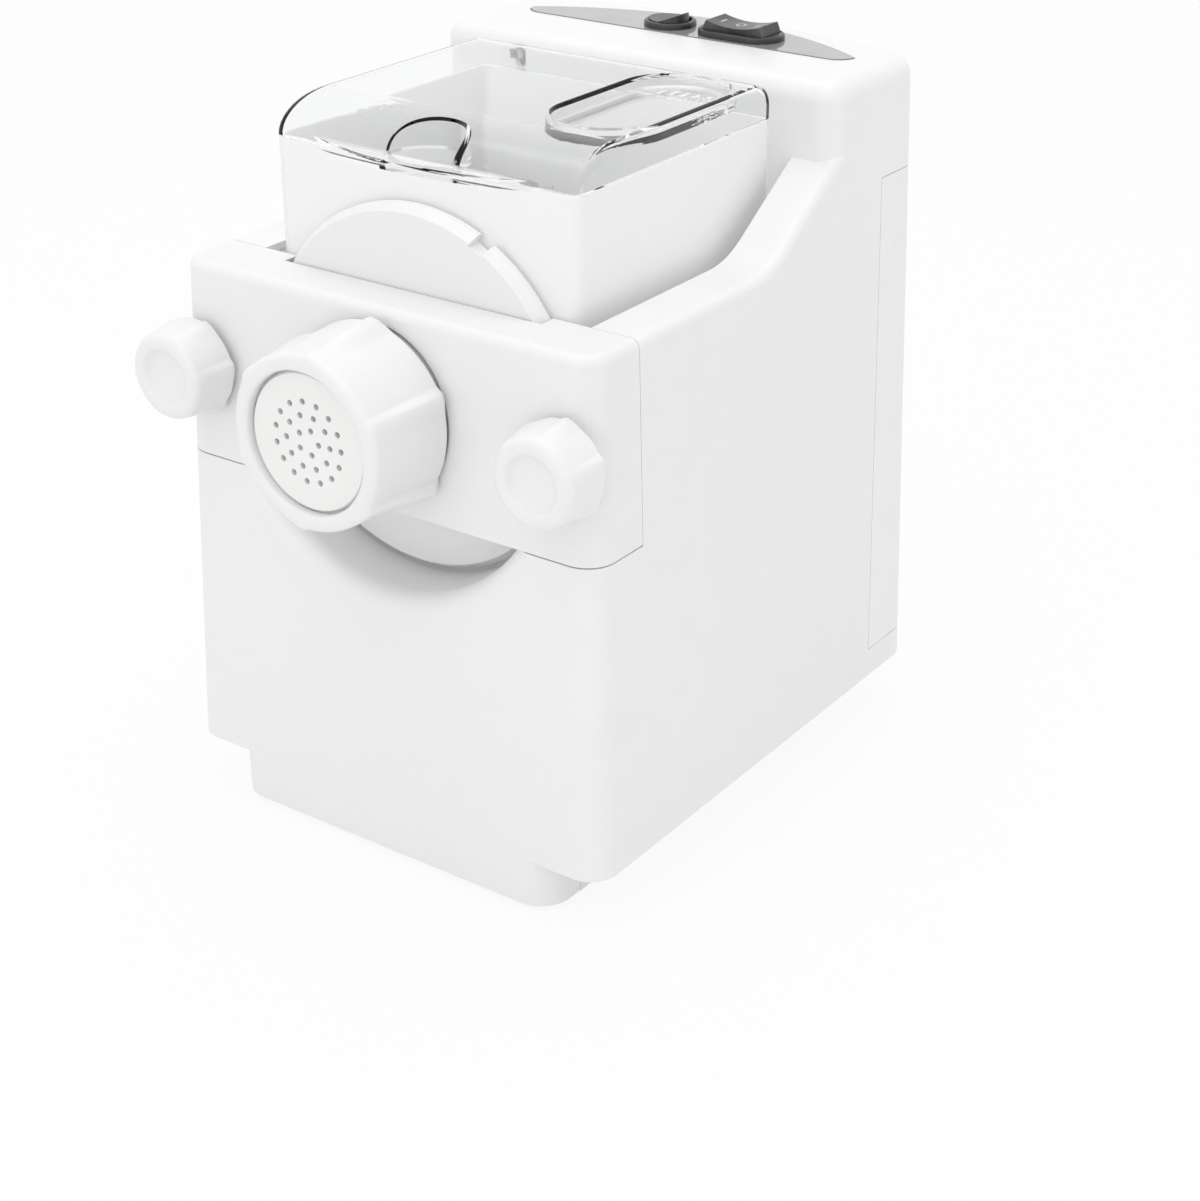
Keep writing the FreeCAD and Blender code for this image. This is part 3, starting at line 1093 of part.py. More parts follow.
def build_all():
    """Makes every sub-part and writes it."""
    blank = housing_blank()
    shells = {"main_housing": main_housing, "rear_cover": rear_cover, "front_panel": front_panel}
    for name, make in shells.items():
        save(name, make(blank))
    makers = [bowl_cradle, mains_inlet, inlet_blades, base_tray, rubber_feet, base_screws, rear_screws,
              panel_studs, front_disc, disc_gasket, shaping_die, ring_nut, mixing_cup, cup_seal, cup_lid,
              output_shaft, kneading_paddle, auger_screw, control_plate, power_bezel, mode_bezel,
              power_rocker, mode_rocker, interlock_switch, interlock_plunger, output_gear, idler_gear,
              idler_shaft, motor_rotor, motor_fan, motor_can, motor_saddle, gear_case, gear_cover,
              shaft_bushes, shaft_seal, gear_case_screws, case_bracket, control_board, board_parts,
              board_standoffs]
    for make in makers:
        save(make.__name__, make())
    for side, word in ((-1, "left"), (1, "right")):
        save("knob_" + word, knob(side))
        save("knob_insert_" + word, knob_insert(side))
        save("knob_washer_" + word, knob_washer(side))


build_all()
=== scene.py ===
import logging
import math
from dataclasses import dataclass
from enum import Enum
from typing import Callable, Sequence

import bmesh
import bpy
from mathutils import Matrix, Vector


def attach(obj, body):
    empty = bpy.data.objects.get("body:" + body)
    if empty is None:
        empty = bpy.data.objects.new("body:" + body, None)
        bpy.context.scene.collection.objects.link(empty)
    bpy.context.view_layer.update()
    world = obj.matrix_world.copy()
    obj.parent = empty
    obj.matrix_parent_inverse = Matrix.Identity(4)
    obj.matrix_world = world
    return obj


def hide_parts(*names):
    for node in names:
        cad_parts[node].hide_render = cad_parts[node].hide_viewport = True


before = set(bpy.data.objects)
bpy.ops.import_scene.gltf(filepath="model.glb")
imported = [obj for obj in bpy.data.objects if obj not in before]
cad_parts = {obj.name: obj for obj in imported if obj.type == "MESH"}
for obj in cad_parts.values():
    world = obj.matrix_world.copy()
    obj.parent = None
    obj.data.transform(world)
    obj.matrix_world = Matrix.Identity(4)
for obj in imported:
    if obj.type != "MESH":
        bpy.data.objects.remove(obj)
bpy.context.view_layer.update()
LOG = logging.getLogger("pasta_maker")

# Where the modelling frame of the solids lies in the standing frame, in millimetres
MIDDLE_Y = 105.5875
FOOT_HEIGHT = 2.0
MM_PER_M = 1000.0

# Places in the modelling frame, in millimetres
AXIS_Z = 192.5
SWITCH_Y = 214.0
KNOB_X = 89.0

# The rear cover's outer face: its reach, its lean per millimetre of height and the radius of its bow
COVER_Y = 247.0
COVER_TOP_Z = 233.5
COVER_LEAN = 0.03
COVER_BOW_R = 346.0

# Sockets of a Mix node in colour mode
MIX_FIRST = 6
MIX_SECOND = 7
MIX_RESULT = 2

# Points closer than this are one point, in metres
SAME_POINT = 1e-7

Point = tuple[float, float, float]
Colour = tuple[float, float, float]
Station = Callable[[float], tuple[float, float]]


def place(x: float, y: float, z: float) -> Vector:
    """Turns a modelling position into a standing one.

    Args:
        x: Position to the right, in millimetres.
        y: Position toward the back, in millimetres.
        z: Height above the plinth's underside, in millimetres.

    Returns:
        The position in metres.
    """
    return Vector((x, y - MIDDLE_Y, z + FOOT_HEIGHT)) / MM_PER_M


class Slot(Enum):
    """Three of the record's material slots; the new pieces here take their finishes from FINISHES instead."""

    WHITE = "white_plastic"
    INNER = "white_inner"
    STEEL = "steel"


class NodeKit:
    """Short calls for building a node tree."""

    def __init__(self, tree: bpy.types.NodeTree) -> None:
        """Keeps the tree that the calls add to.

        Args:
            tree: A material's or a group's node tree.
        """
        self.tree = tree

    def add(self, kind: str, **values: object) -> bpy.types.Node:
        """Adds a node and sets its properties and input defaults.

        Args:
            kind: The node's type name.
            **values: Properties, or input values written with in_ before the socket's name.

        Returns:
            The new node.
        """
        node = self.tree.nodes.new(kind)
        for key, value in values.items():
            if key.startswith("in_"):
                node.inputs[key[3:].replace("_", " ")].default_value = value
            else:
                setattr(node, key, value)
        return node

    def link(self, source: bpy.types.NodeSocket, target: bpy.types.NodeSocket) -> None:
        """Joins two sockets.

        Args:
            source: The output socket.
            target: The input socket.
        """
        self.tree.links.new(source, target)

    def maths(self, operation: str, first: bpy.types.NodeSocket | float,
              second: bpy.types.NodeSocket | float) -> bpy.types.NodeSocket:
        """Adds a Math node on two sockets or numbers.

        Args:
            operation: The Math node's operation.
            first: A socket or a number.
            second: A socket or a number.

        Returns:
            The result's socket.
        """
        node = self.add("ShaderNodeMath", operation=operation)
        for index, value in enumerate((first, second)):
            if isinstance(value, bpy.types.NodeSocket):
                self.link(value, node.inputs[index])
            else:
                node.inputs[index].default_value = value
        return node.outputs[0]


class SurfaceGroups:
    """Shader groups shared by every finish."""

    def __init__(self) -> None:
        """Builds the groups once."""
        self.grain = self._grain()
        self.wear = self._wear()
        self.mottle = self._mottle()

    @staticmethod
    def _new(
        name: str, inputs: Sequence[tuple[str, float]], output: tuple[str, str]
    ) -> tuple[bpy.types.NodeTree, NodeKit, bpy.types.Node, bpy.types.Node]:
        """Starts a group with number inputs and one output.

        Args:
            name: The group's name.
            inputs: Each input's name and default.
            output: The output's name and socket type.

        Returns:
            The tree, its kit, its input node and its output node.
        """
        tree = bpy.data.node_groups.new(name, "ShaderNodeTree")
        for label, value in inputs:
            socket = tree.interface.new_socket(label, in_out="INPUT", socket_type="NodeSocketFloat")
            socket.default_value = value
        tree.interface.new_socket(output[0], in_out="OUTPUT", socket_type=output[1])
        kit = NodeKit(tree)
        return tree, kit, kit.add("NodeGroupInput"), kit.add("NodeGroupOutput")

    def _grain(self) -> bpy.types.NodeTree:
        """Moulding grain: a fine speckle and a slow ripple as one bump.

        Returns:
            The group.
        """
        tree, kit, start, end = self._new(
            "moulding_grain",
            (("Scale", 900.0), ("Depth", 0.1), ("Ripple", 0.1)),
            ("Normal", "NodeSocketVector"),
        )
        coords = kit.add("ShaderNodeTexCoord")
        fine = kit.add("ShaderNodeTexNoise", in_Detail=3.0, in_Roughness=0.6)
        slow = kit.add("ShaderNodeTexNoise", in_Scale=24.0, in_Detail=2.0)
        for noise in (fine, slow):
            kit.link(coords.outputs["Object"], noise.inputs["Vector"])
        kit.link(start.outputs["Scale"], fine.inputs["Scale"])
        ripple = kit.maths("MULTIPLY", slow.outputs["Fac"], start.outputs["Ripple"])
        height = kit.maths("ADD", fine.outputs["Fac"], ripple)
        bump = kit.add("ShaderNodeBump", in_Distance=0.0002)
        kit.link(start.outputs["Depth"], bump.inputs["Strength"])
        kit.link(height, bump.inputs["Height"])
        kit.link(bump.outputs["Normal"], end.inputs["Normal"])
        return tree

    def _wear(self) -> bpy.types.NodeTree:
        """Edge wear: convex edges, broken up by noise, as a mask.

        Returns:
            The group.
        """
        tree, kit, start, end = self._new(
            "edge_wear", (("Amount", 0.3), ("Breakup", 60.0)), ("Mask", "NodeSocketFloat")
        )
        geometry = kit.add("ShaderNodeNewGeometry")
        edge = kit.add("ShaderNodeMapRange", in_From_Min=0.52, in_From_Max=0.62)
        kit.link(geometry.outputs["Pointiness"], edge.inputs["Value"])
        coords = kit.add("ShaderNodeTexCoord")
        noise = kit.add("ShaderNodeTexNoise", in_Detail=4.0)
        kit.link(coords.outputs["Object"], noise.inputs["Vector"])
        kit.link(start.outputs["Breakup"], noise.inputs["Scale"])
        broken = kit.add("ShaderNodeMapRange", in_From_Min=0.4, in_From_Max=0.62)
        kit.link(noise.outputs["Fac"], broken.inputs["Value"])
        both = kit.maths("MULTIPLY", edge.outputs["Result"], broken.outputs["Result"])
        kit.link(kit.maths("MULTIPLY", both, start.outputs["Amount"]), end.inputs["Mask"])
        return tree

    def _mottle(self) -> bpy.types.NodeTree:
        """Slow variation of tone over a surface, between 0 and 1.

        Returns:
            The group.
        """
        tree, kit, start, end = self._new(
            "tone_mottle", (("Scale", 9.0), ("Seed", 0.0)), ("Value", "NodeSocketFloat")
        )
        coords = kit.add("ShaderNodeTexCoord")
        noise = kit.add("ShaderNodeTexNoise", noise_dimensions="4D", in_Detail=5.0, in_Roughness=0.55)
        kit.link(coords.outputs["Object"], noise.inputs["Vector"])
        kit.link(start.outputs["Scale"], noise.inputs["Scale"])
        kit.link(start.outputs["Seed"], noise.inputs["W"])
        kit.link(noise.outputs["Fac"], end.inputs["Value"])
        return tree


@dataclass(frozen=True)
class Finish:
    """A procedural finish: tone variation, edge wear, roughness variation and grain.

    Attributes:
        name: The material's name.
        light: The lighter tone.
        dark: The darker tone.
        worn: The colour that shows where edges are worn.
        roughness: The middle roughness.
        spread: How far the roughness varies.
        metallic: The shader's metallic value.
        grain_scale: How fine the moulding grain is.
        grain_depth: How strong the grain's bump is.
        ripple: How much slow ripple the bump has.
        wear: How strongly edges wear.
        seed: Sets the mottling apart from other finishes.
        transmission: How clear the material is.
        ior: The index of refraction.
        coat: The weight of a clear coat.
        subsurface: The weight of scattering below the surface.
        scatter_depth: How deep that scattering goes, in metres.
        brushed: Whether the surface has turning marks instead of grain.
    """

    name: str
    light: Colour
    dark: Colour
    worn: Colour
    roughness: float = 0.4
    spread: float = 0.06
    metallic: float = 0.0
    grain_scale: float = 900.0
    grain_depth: float = 0.1
    ripple: float = 0.1
    wear: float = 0.3
    seed: float = 0.0
    transmission: float = 0.0
    ior: float = 1.47
    coat: float = 0.0
    subsurface: float = 0.0
    scatter_depth: float = 0.002
    brushed: bool = False

    def build(self, groups: SurfaceGroups) -> bpy.types.Material:
        """Makes the material.

        Args:
            groups: The shared shader groups.

        Returns:
            The finished material.
        """
        material = bpy.data.materials.new(self.name)
        material.use_nodes = True
        kit = NodeKit(material.node_tree)
        shader = material.node_tree.nodes["Principled BSDF"]
        self._set_constants(shader)
        mottle = kit.add("ShaderNodeGroup", node_tree=groups.mottle, in_Seed=self.seed)
        wear = kit.add("ShaderNodeGroup", node_tree=groups.wear, in_Amount=self.wear)
        self._colour(kit, shader, mottle.outputs["Value"], wear.outputs["Mask"])
        rough = kit.add("ShaderNodeMapRange", in_To_Min=self.roughness - self.spread,
                        in_To_Max=self.roughness + self.spread)
        kit.link(mottle.outputs["Value"], rough.inputs["Value"])
        kit.link(rough.outputs["Result"], shader.inputs["Roughness"])
        if self.brushed:
            self._brush(kit, shader)
        else:
            grain = kit.add("ShaderNodeGroup", node_tree=groups.grain, in_Scale=self.grain_scale,
                            in_Depth=self.grain_depth, in_Ripple=self.ripple)
            kit.link(grain.outputs["Normal"], shader.inputs["Normal"])
        if self.transmission > 0:
            self._let_light_through(kit, shader, material.node_tree.nodes["Material Output"])
        return material

    def _set_constants(self, shader: bpy.types.Node) -> None:
        """Sets what is the same all over the surface."""
        shader.inputs["Metallic"].default_value = self.metallic
        shader.inputs["Transmission Weight"].default_value = self.transmission
        shader.inputs["IOR"].default_value = self.ior
        shader.inputs["Coat Weight"].default_value = self.coat
        if self.subsurface > 0:
            shader.inputs["Subsurface Weight"].default_value = self.subsurface
            shader.inputs["Subsurface Scale"].default_value = self.scatter_depth

    def _colour(self, kit: NodeKit, shader: bpy.types.Node, mottle: bpy.types.NodeSocket,
                wear: bpy.types.NodeSocket) -> None:
        """Mixes the two tones over the surface and the worn colour on its edges.

        Args:
            kit: The material's node kit.
            shader: The material's shader.
            mottle: Where the surface is light.
            wear: Where its edges are worn.
        """
        tone = kit.add("ShaderNodeMix", data_type="RGBA")
        tone.inputs[MIX_FIRST].default_value = (*self.dark, 1.0)
        tone.inputs[MIX_SECOND].default_value = (*self.light, 1.0)
        kit.link(mottle, tone.inputs["Factor"])
        edge = kit.add("ShaderNodeMix", data_type="RGBA")
        edge.inputs[MIX_SECOND].default_value = (*self.worn, 1.0)
        kit.link(wear, edge.inputs["Factor"])
        kit.link(tone.outputs[MIX_RESULT], edge.inputs[MIX_FIRST])
        kit.link(edge.outputs[MIX_RESULT], shader.inputs["Base Color"])

    @staticmethod
    def _let_light_through(kit: NodeKit, shader: bpy.types.Node, out: bpy.types.Node) -> None:
        """Lets shadow and bounced rays pass a clear wall, so that the space behind it stays bright.

        Args:
            kit: The material's node kit.
            shader: The material's shader.
            out: The material's output node.
        """
        path = kit.add("ShaderNodeLightPath")
        passing = kit.add("ShaderNodeBsdfTransparent")
        mix = kit.add("ShaderNodeMixShader")
        passes = kit.maths("MAXIMUM", path.outputs["Is Shadow Ray"], path.outputs["Is Diffuse Ray"])
        kit.link(passes, mix.inputs[0])
        kit.link(shader.outputs["BSDF"], mix.inputs[1])
        kit.link(passing.outputs["BSDF"], mix.inputs[2])
        kit.link(mix.outputs[0], out.inputs["Surface"])

    @staticmethod
    def _brush(kit: NodeKit, shader: bpy.types.Node) -> None:
        """Gives a turned metal its fine rings.

        Args:
            kit: The material's node kit.
            shader: The material's shader.
        """
        coords = kit.add("ShaderNodeTexCoord")
        stretch = kit.add("ShaderNodeMapping")
        stretch.inputs["Scale"].default_value = (60.0, 4000.0, 60.0)
        noise = kit.add("ShaderNodeTexNoise", in_Scale=1.0, in_Detail=2.0)
        bump = kit.add("ShaderNodeBump", in_Strength=0.15, in_Distance=0.0001)
        kit.link(coords.outputs["Object"], stretch.inputs["Vector"])
        kit.link(stretch.outputs["Vector"], noise.inputs["Vector"])
        kit.link(noise.outputs["Fac"], bump.inputs["Height"])
        kit.link(bump.outputs["Normal"], shader.inputs["Normal"])


FINISHES: dict[str, Finish] = {
    "housing": Finish("housing_white", (0.86, 0.86, 0.865), (0.835, 0.835, 0.84), (0.92, 0.92, 0.92),
                      roughness=0.36, grain_depth=0.08, ripple=0.4, wear=0.25, seed=1.0),
    "panel": Finish("panel_white", (0.85, 0.85, 0.855), (0.825, 0.825, 0.83), (0.92, 0.92, 0.92),
                    roughness=0.34, grain_depth=0.07, ripple=0.3, wear=0.3, seed=2.0),
    "grip": Finish("grip_white", (0.85, 0.85, 0.856), (0.83, 0.83, 0.836), (0.92, 0.92, 0.92),
                   roughness=0.3, grain_depth=0.05, ripple=0.2, wear=0.35, seed=3.0, subsurface=0.08),
    "disc": Finish("disc_white", (0.84, 0.84, 0.85), (0.82, 0.82, 0.83), (0.9, 0.9, 0.9),
                   roughness=0.34, grain_depth=0.06, ripple=0.2, wear=0.3, seed=4.0),
    "clear": Finish("clear_lid", (0.985, 0.99, 0.99), (0.975, 0.98, 0.98), (0.99, 0.99, 0.99),
                    roughness=0.035, spread=0.01, grain_depth=0.01, ripple=0.6, wear=0.1, seed=5.0,
                    transmission=1.0, ior=1.3),
    "cup": Finish("clear_cup", (0.90, 0.902, 0.906), (0.885, 0.888, 0.892), (0.95, 0.95, 0.95),
                  roughness=0.2, spread=0.03, grain_depth=0.02, ripple=0.6, wear=0.1, seed=6.0,
                  transmission=0.14, ior=1.4),
    "plate": Finish("plate_grey", (0.30, 0.305, 0.31), (0.265, 0.27, 0.275), (0.42, 0.42, 0.43),
                    roughness=0.12, spread=0.03, grain_depth=0.015, ripple=0.3, wear=0.3, seed=7.0, coat=0.6),
    "switch": Finish("switch_black", (0.035, 0.036, 0.038), (0.022, 0.023, 0.025), (0.12, 0.12, 0.12),
                     roughness=0.3, grain_depth=0.08, ripple=0.2, wear=0.5, seed=8.0),
    "mark": Finish("mark_white", (0.62, 0.63, 0.64), (0.55, 0.56, 0.57), (0.4, 0.4, 0.4),
                   roughness=0.45, grain_depth=0.05, wear=0.6, seed=9.0),
    "acetal": Finish("acetal_white", (0.84, 0.84, 0.82), (0.80, 0.80, 0.78), (0.9, 0.9, 0.88),
                     roughness=0.4, grain_depth=0.06, ripple=0.2, seed=10.0, subsurface=0.1),
    "die": Finish("die_white", (0.86, 0.86, 0.85), (0.83, 0.83, 0.82), (0.9, 0.9, 0.9),
                  roughness=0.38, grain_depth=0.06, ripple=0.2, seed=11.0),
    "steel": Finish("turned_steel", (0.66, 0.66, 0.67), (0.56, 0.56, 0.57), (0.8, 0.8, 0.8),
                    roughness=0.3, metallic=1.0, wear=0.5, seed=12.0, brushed=True),
    "screw": Finish("screw_steel", (0.60, 0.60, 0.61), (0.48, 0.48, 0.50), (0.8, 0.8, 0.8),
                    roughness=0.28, metallic=1.0, grain_scale=2500.0, grain_depth=0.15, wear=0.7, seed=13.0),
    "brass": Finish("turned_brass", (0.70, 0.54, 0.27), (0.60, 0.44, 0.20), (0.85, 0.7, 0.4),
                    roughness=0.28, metallic=1.0, wear=0.5, seed=14.0, brushed=True),
    "rubber": Finish("rubber_black", (0.045, 0.045, 0.045), (0.03, 0.03, 0.03), (0.10, 0.10, 0.10),
                     roughness=0.72, grain_scale=1800.0, grain_depth=0.35, wear=0.5, seed=15.0),
    "silicone": Finish("silicone_pale", (0.74, 0.75, 0.76), (0.70, 0.71, 0.72), (0.8, 0.8, 0.8),
                       roughness=0.55, grain_depth=0.1, seed=16.0, subsurface=0.2),
    "motor": Finish("motor_paint", (0.20, 0.21, 0.23), (0.14, 0.15, 0.17), (0.5, 0.5, 0.5),
                    roughness=0.42, metallic=0.6, grain_depth=0.2, wear=0.8, seed=17.0),
    "gear": Finish("gear_case_cream", (0.76, 0.75, 0.70), (0.70, 0.69, 0.64), (0.82, 0.81, 0.78),
                   roughness=0.48, grain_depth=0.15, ripple=0.3, seed=18.0),
    "board": Finish("board_green", (0.07, 0.30, 0.14), (0.05, 0.22, 0.10), (0.5, 0.42, 0.2),
                    roughness=0.35, grain_scale=1400.0, grain_depth=0.12, seed=19.0, coat=0.3),
    "dark": Finish("dark_moulded", (0.09, 0.09, 0.10), (0.06, 0.06, 0.065), (0.2, 0.2, 0.2),
                   roughness=0.45, grain_depth=0.15, seed=20.0),
}

CAD_FINISHES: dict[str, str] = {
    "main_housing": "housing", "rear_cover": "housing", "base_tray": "housing", "bowl_cradle": "housing",
    "front_panel": "panel", "front_disc": "disc", "mixing_cup": "cup", "cup_lid": "clear",
    "rubber_feet": "rubber", "shaft_seal": "rubber", "cup_seal": "silicone", "disc_gasket": "silicone",
    "mains_inlet": "switch", "inlet_blades": "brass", "shaft_bushes": "brass",
    "knob_insert_left": "brass", "knob_insert_right": "brass", "panel_studs": "steel",
    "output_shaft": "steel", "idler_shaft": "steel", "motor_rotor": "steel",
    "base_screws": "screw", "rear_screws": "screw", "gear_case_screws": "screw",
    "output_gear": "acetal", "idler_gear": "acetal", "kneading_paddle": "acetal", "auger_screw": "acetal",
    "interlock_plunger": "acetal", "knob_washer_left": "acetal", "knob_washer_right": "acetal",
    "shaping_die": "die", "motor_can": "motor", "motor_saddle": "gear", "gear_case": "gear",
    "gear_cover": "gear", "case_bracket": "gear", "board_standoffs": "gear", "control_board": "board",
    "board_parts": "dark", "interlock_switch": "dark", "motor_fan": "dark",
    "control_plate": "plate", "power_bezel": "switch", "mode_bezel": "switch",
    "power_rocker": "switch", "mode_rocker": "switch", "ring_nut": "grip",
    "knob_left": "grip", "knob_right": "grip",
}


def ring_faces(rings: int, steps: int, closed: bool) -> list[list[int]]:
    """The four-cornered faces between rings of points.

    Args:
        rings: Number of rings.
        steps: Points per ring.
        closed: Whether the last ring joins the first.

    Returns:
        The faces as lists of point numbers.
    """
    faces: list[list[int]] = []
    for ring in range(rings if closed else rings - 1):
        after = (ring + 1) % rings
        for i in range(steps):
            j = (i + 1) % steps
            faces.append([ring * steps + i, ring * steps + j, after * steps + j, after * steps + i])
    return faces


class Workshop:
    """Holds the finishes and turns point lists into finished pieces."""

    def __init__(self) -> None:
        """Builds every material once."""
        groups = SurfaceGroups()
        self.materials = {key: finish.build(groups) for key, finish in FINISHES.items()}

    def dress_solids(self) -> None:
        """Gives every CAD node its procedural material."""
        for name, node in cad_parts.items():
            material = self.materials[CAD_FINISHES[name]]
            if not node.material_slots:
                node.data.materials.append(material)
            for slot in node.material_slots:
                slot.material = material
        LOG.info("dressed %d solids", len(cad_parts))

    def piece(self, name: str, points: Sequence[Vector], faces: Sequence[Sequence[int]], finish: str,
              sharp_angle: float = 35.0) -> bpy.types.Object:
        """Makes one mesh piece with outward normals.

        Args:
            name: The piece's name.
            points: Its points, in metres.
            faces: Its faces, as lists of point numbers.
            finish: The key of its finish.
            sharp_angle: Edges sharper than this many degrees stay sharp.

        Returns:
            The new object, at the origin.
        """
        mesh = bpy.data.meshes.new(name)
        mesh.from_pydata([tuple(p) for p in points], [], [list(f) for f in faces])
        mesh.validate()
        mesh.materials.append(self.materials[finish])
        piece = bpy.data.objects.new(name, mesh)
        bpy.context.scene.collection.objects.link(piece)
        self.tidy(piece, sharp_angle)
        return piece

    @staticmethod
    def tidy(piece: bpy.types.Object, sharp_angle: float = 35.0) -> None:
        """Turns the faces outward and shades the piece smooth between sharp edges.

        Args:
            piece: The piece.
            sharp_angle: Edges sharper than this many degrees stay sharp.
        """
        shape = bmesh.new()
        shape.from_mesh(piece.data)
        bmesh.ops.remove_doubles(shape, verts=shape.verts, dist=SAME_POINT)
        bmesh.ops.recalc_face_normals(shape, faces=shape.faces)
        shape.to_mesh(piece.data)
        shape.free()
        piece.data.shade_smooth()
        piece.data.set_sharp_from_angle(angle=math.radians(sharp_angle))

    def revolved(self, name: str, stations: Sequence[Station], x: float, finish: str, steps: int,
                 sharp_angle: float, closed: bool = False) -> bpy.types.Object:
        """Makes a round piece about an axis along y, whose radius may vary round the turn.

        Args:
            name: The piece's name.
            stations: For each ring, a call from the angle to its radius and y position, in millimetres.
            x: Where the axis stands across the machine, in millimetres.
            finish: The key of its finish.
            steps: Points per ring.
            sharp_angle: Edges sharper than this many degrees stay sharp.
            closed: Whether the last ring joins the first.

        Returns:
            The new object.
        """
        points: list[Vector] = []
        for station in stations:
            for i in range(steps):
                angle = 2 * math.pi * i / steps
                radius, y = station(angle)
                points.append(place(x + radius * math.cos(angle), y, AXIS_Z + radius * math.sin(angle)))
        count = len(stations)
        faces = ring_faces(count, steps, closed)
        if not closed:
            faces.append(list(range(steps)))
            faces.append([(count - 1) * steps + i for i in reversed(range(steps))])
        return self.piece(name, points, faces, finish, sharp_angle)


def quarter(steps: int) -> list[float]:
    """The angles in radians that divide a quarter turn, both ends included."""
    return [math.pi / 2 * k / steps for k in range(steps + 1)]


def smoothstep(low: float, high: float, value: float) -> float:
    """Eases from 0 to 1 as the value goes from low to high.

    Args:
        low: Where the result is 0.
        high: Where the result is 1.
        value: The value.

    Returns:
        The eased result.
    """
    t = min(max((value - low) / (high - low), 0.0), 1.0)
    return t * t * (3 - 2 * t)


def turn_offset(angle: float, centre: float) -> float:
    """The signed angle from a centre, in degrees between -180 and 180.

    Args:
        angle: The angle in radians.
        centre: The centre in degrees.

    Returns:
        The difference in degrees.
    """
    return (math.degrees(angle) - centre + 180.0) % 360.0 - 180.0


def circle(radius: float, y: float) -> Station:
    """A ring of one radius."""
    return lambda angle: (radius, y)


def inside(ring: Station, inset: float, y: float) -> Station:
    """A ring that follows another ring's outline, farther in by the inset."""
    return lambda angle: (ring(angle)[0] - inset, y)


@dataclass
class RidgedGrip:
    """A tapered round wall with grip ridges and a rounded front edge.

    Attributes:
        first: Angle of the first ridge in degrees.
        back_y: Where its rear edge stands.
        front_y: Where its front face stands.
        back_r: Wall radius at the rear.
        front_r: Wall radius at the front.
        edge_depth: How deep the rounded front edge reaches.
        edge_inset: How far that edge reaches inward.
        edge_steps: Divisions of that edge.
        ridges: Number of ridges.
        ridge: Height of a ridge.
        rise: Degrees over which a ridge rises.
        fall: Degrees over which it falls.
        start: The share of its height that a ridge has at the front.
        full: Where along the wall it has all its height.
        ease: The share of its height that it loses at the rear edge.
        ease_from: Where along the wall that loss begins.
        valley: How far the wall sinks between two ridges.
        shares: Where the wall's rings lie, 1 at the rear and 0 at the front.
        chamfer: Rings of the rear edge, each as its inset from the wall and from the edge.
    """

    first: float
    back_y: float
    front_y: float
    back_r: float
    front_r: float
    edge_depth: float
    edge_inset: float
    edge_steps: int
    ridges: int
    ridge: float
    rise: float
    fall: float
    start: float
    full: float
    ease: float
    ease_from: float
    valley: float
    shares: Sequence[float]
    chamfer: Sequence[tuple[float, float]]

    def height(self, angle: float) -> float:
        """How high the ridges stand at an angle in radians, between 0 and 1."""
        high = 0.0
        for i in range(self.ridges):
            off = turn_offset(angle, self.first + 360.0 / self.ridges * i)
            high = max(high, smoothstep(-self.rise, 0.0, off) * (1.0 - smoothstep(0.0, self.fall, off)))
        return high

    def along(self, share: float) -> tuple[float, float]:
        """How far a ridge has grown along the wall, and what the rear edge leaves of it."""
        grown = self.start + (1.0 - self.start) * smoothstep(0.0, self.full, share)
        return grown, 1.0 - self.ease * smoothstep(self.ease_from, 1.0, share)

    def relief(self, angle: float, share: float) -> float:
        """How far the wall stands off its plain taper, which each grip shapes in its own way."""
        raise NotImplementedError

    def wall(self, share: float) -> Station:
        """One ring of the wall.

        Args:
            share: 0 where the front edge starts and 1 at the rear edge.

        Returns:
            The call from angle to radius and y.
        """
        start = self.front_y + self.edge_depth
        base = self.front_r + share * (self.back_r - self.front_r)
        return lambda angle: (base + self.relief(angle, share), start + share * (self.back_y - start))

    def outline(self) -> list[Station]:
        """The rings from the rear edge to the end of the rounded front edge."""
        rings = [inside(self.wall(1.0), inset, self.back_y - step) for inset, step in self.chamfer]
        rings += [self.wall(share) for share in self.shares]
        for t in quarter(self.edge_steps)[1:]:
            inset, step = self.edge_inset * (1 - math.cos(t)), self.edge_depth * (1 - math.sin(t))
            rings.append(inside(self.wall(0.0), inset, self.front_y + step))
        return rings


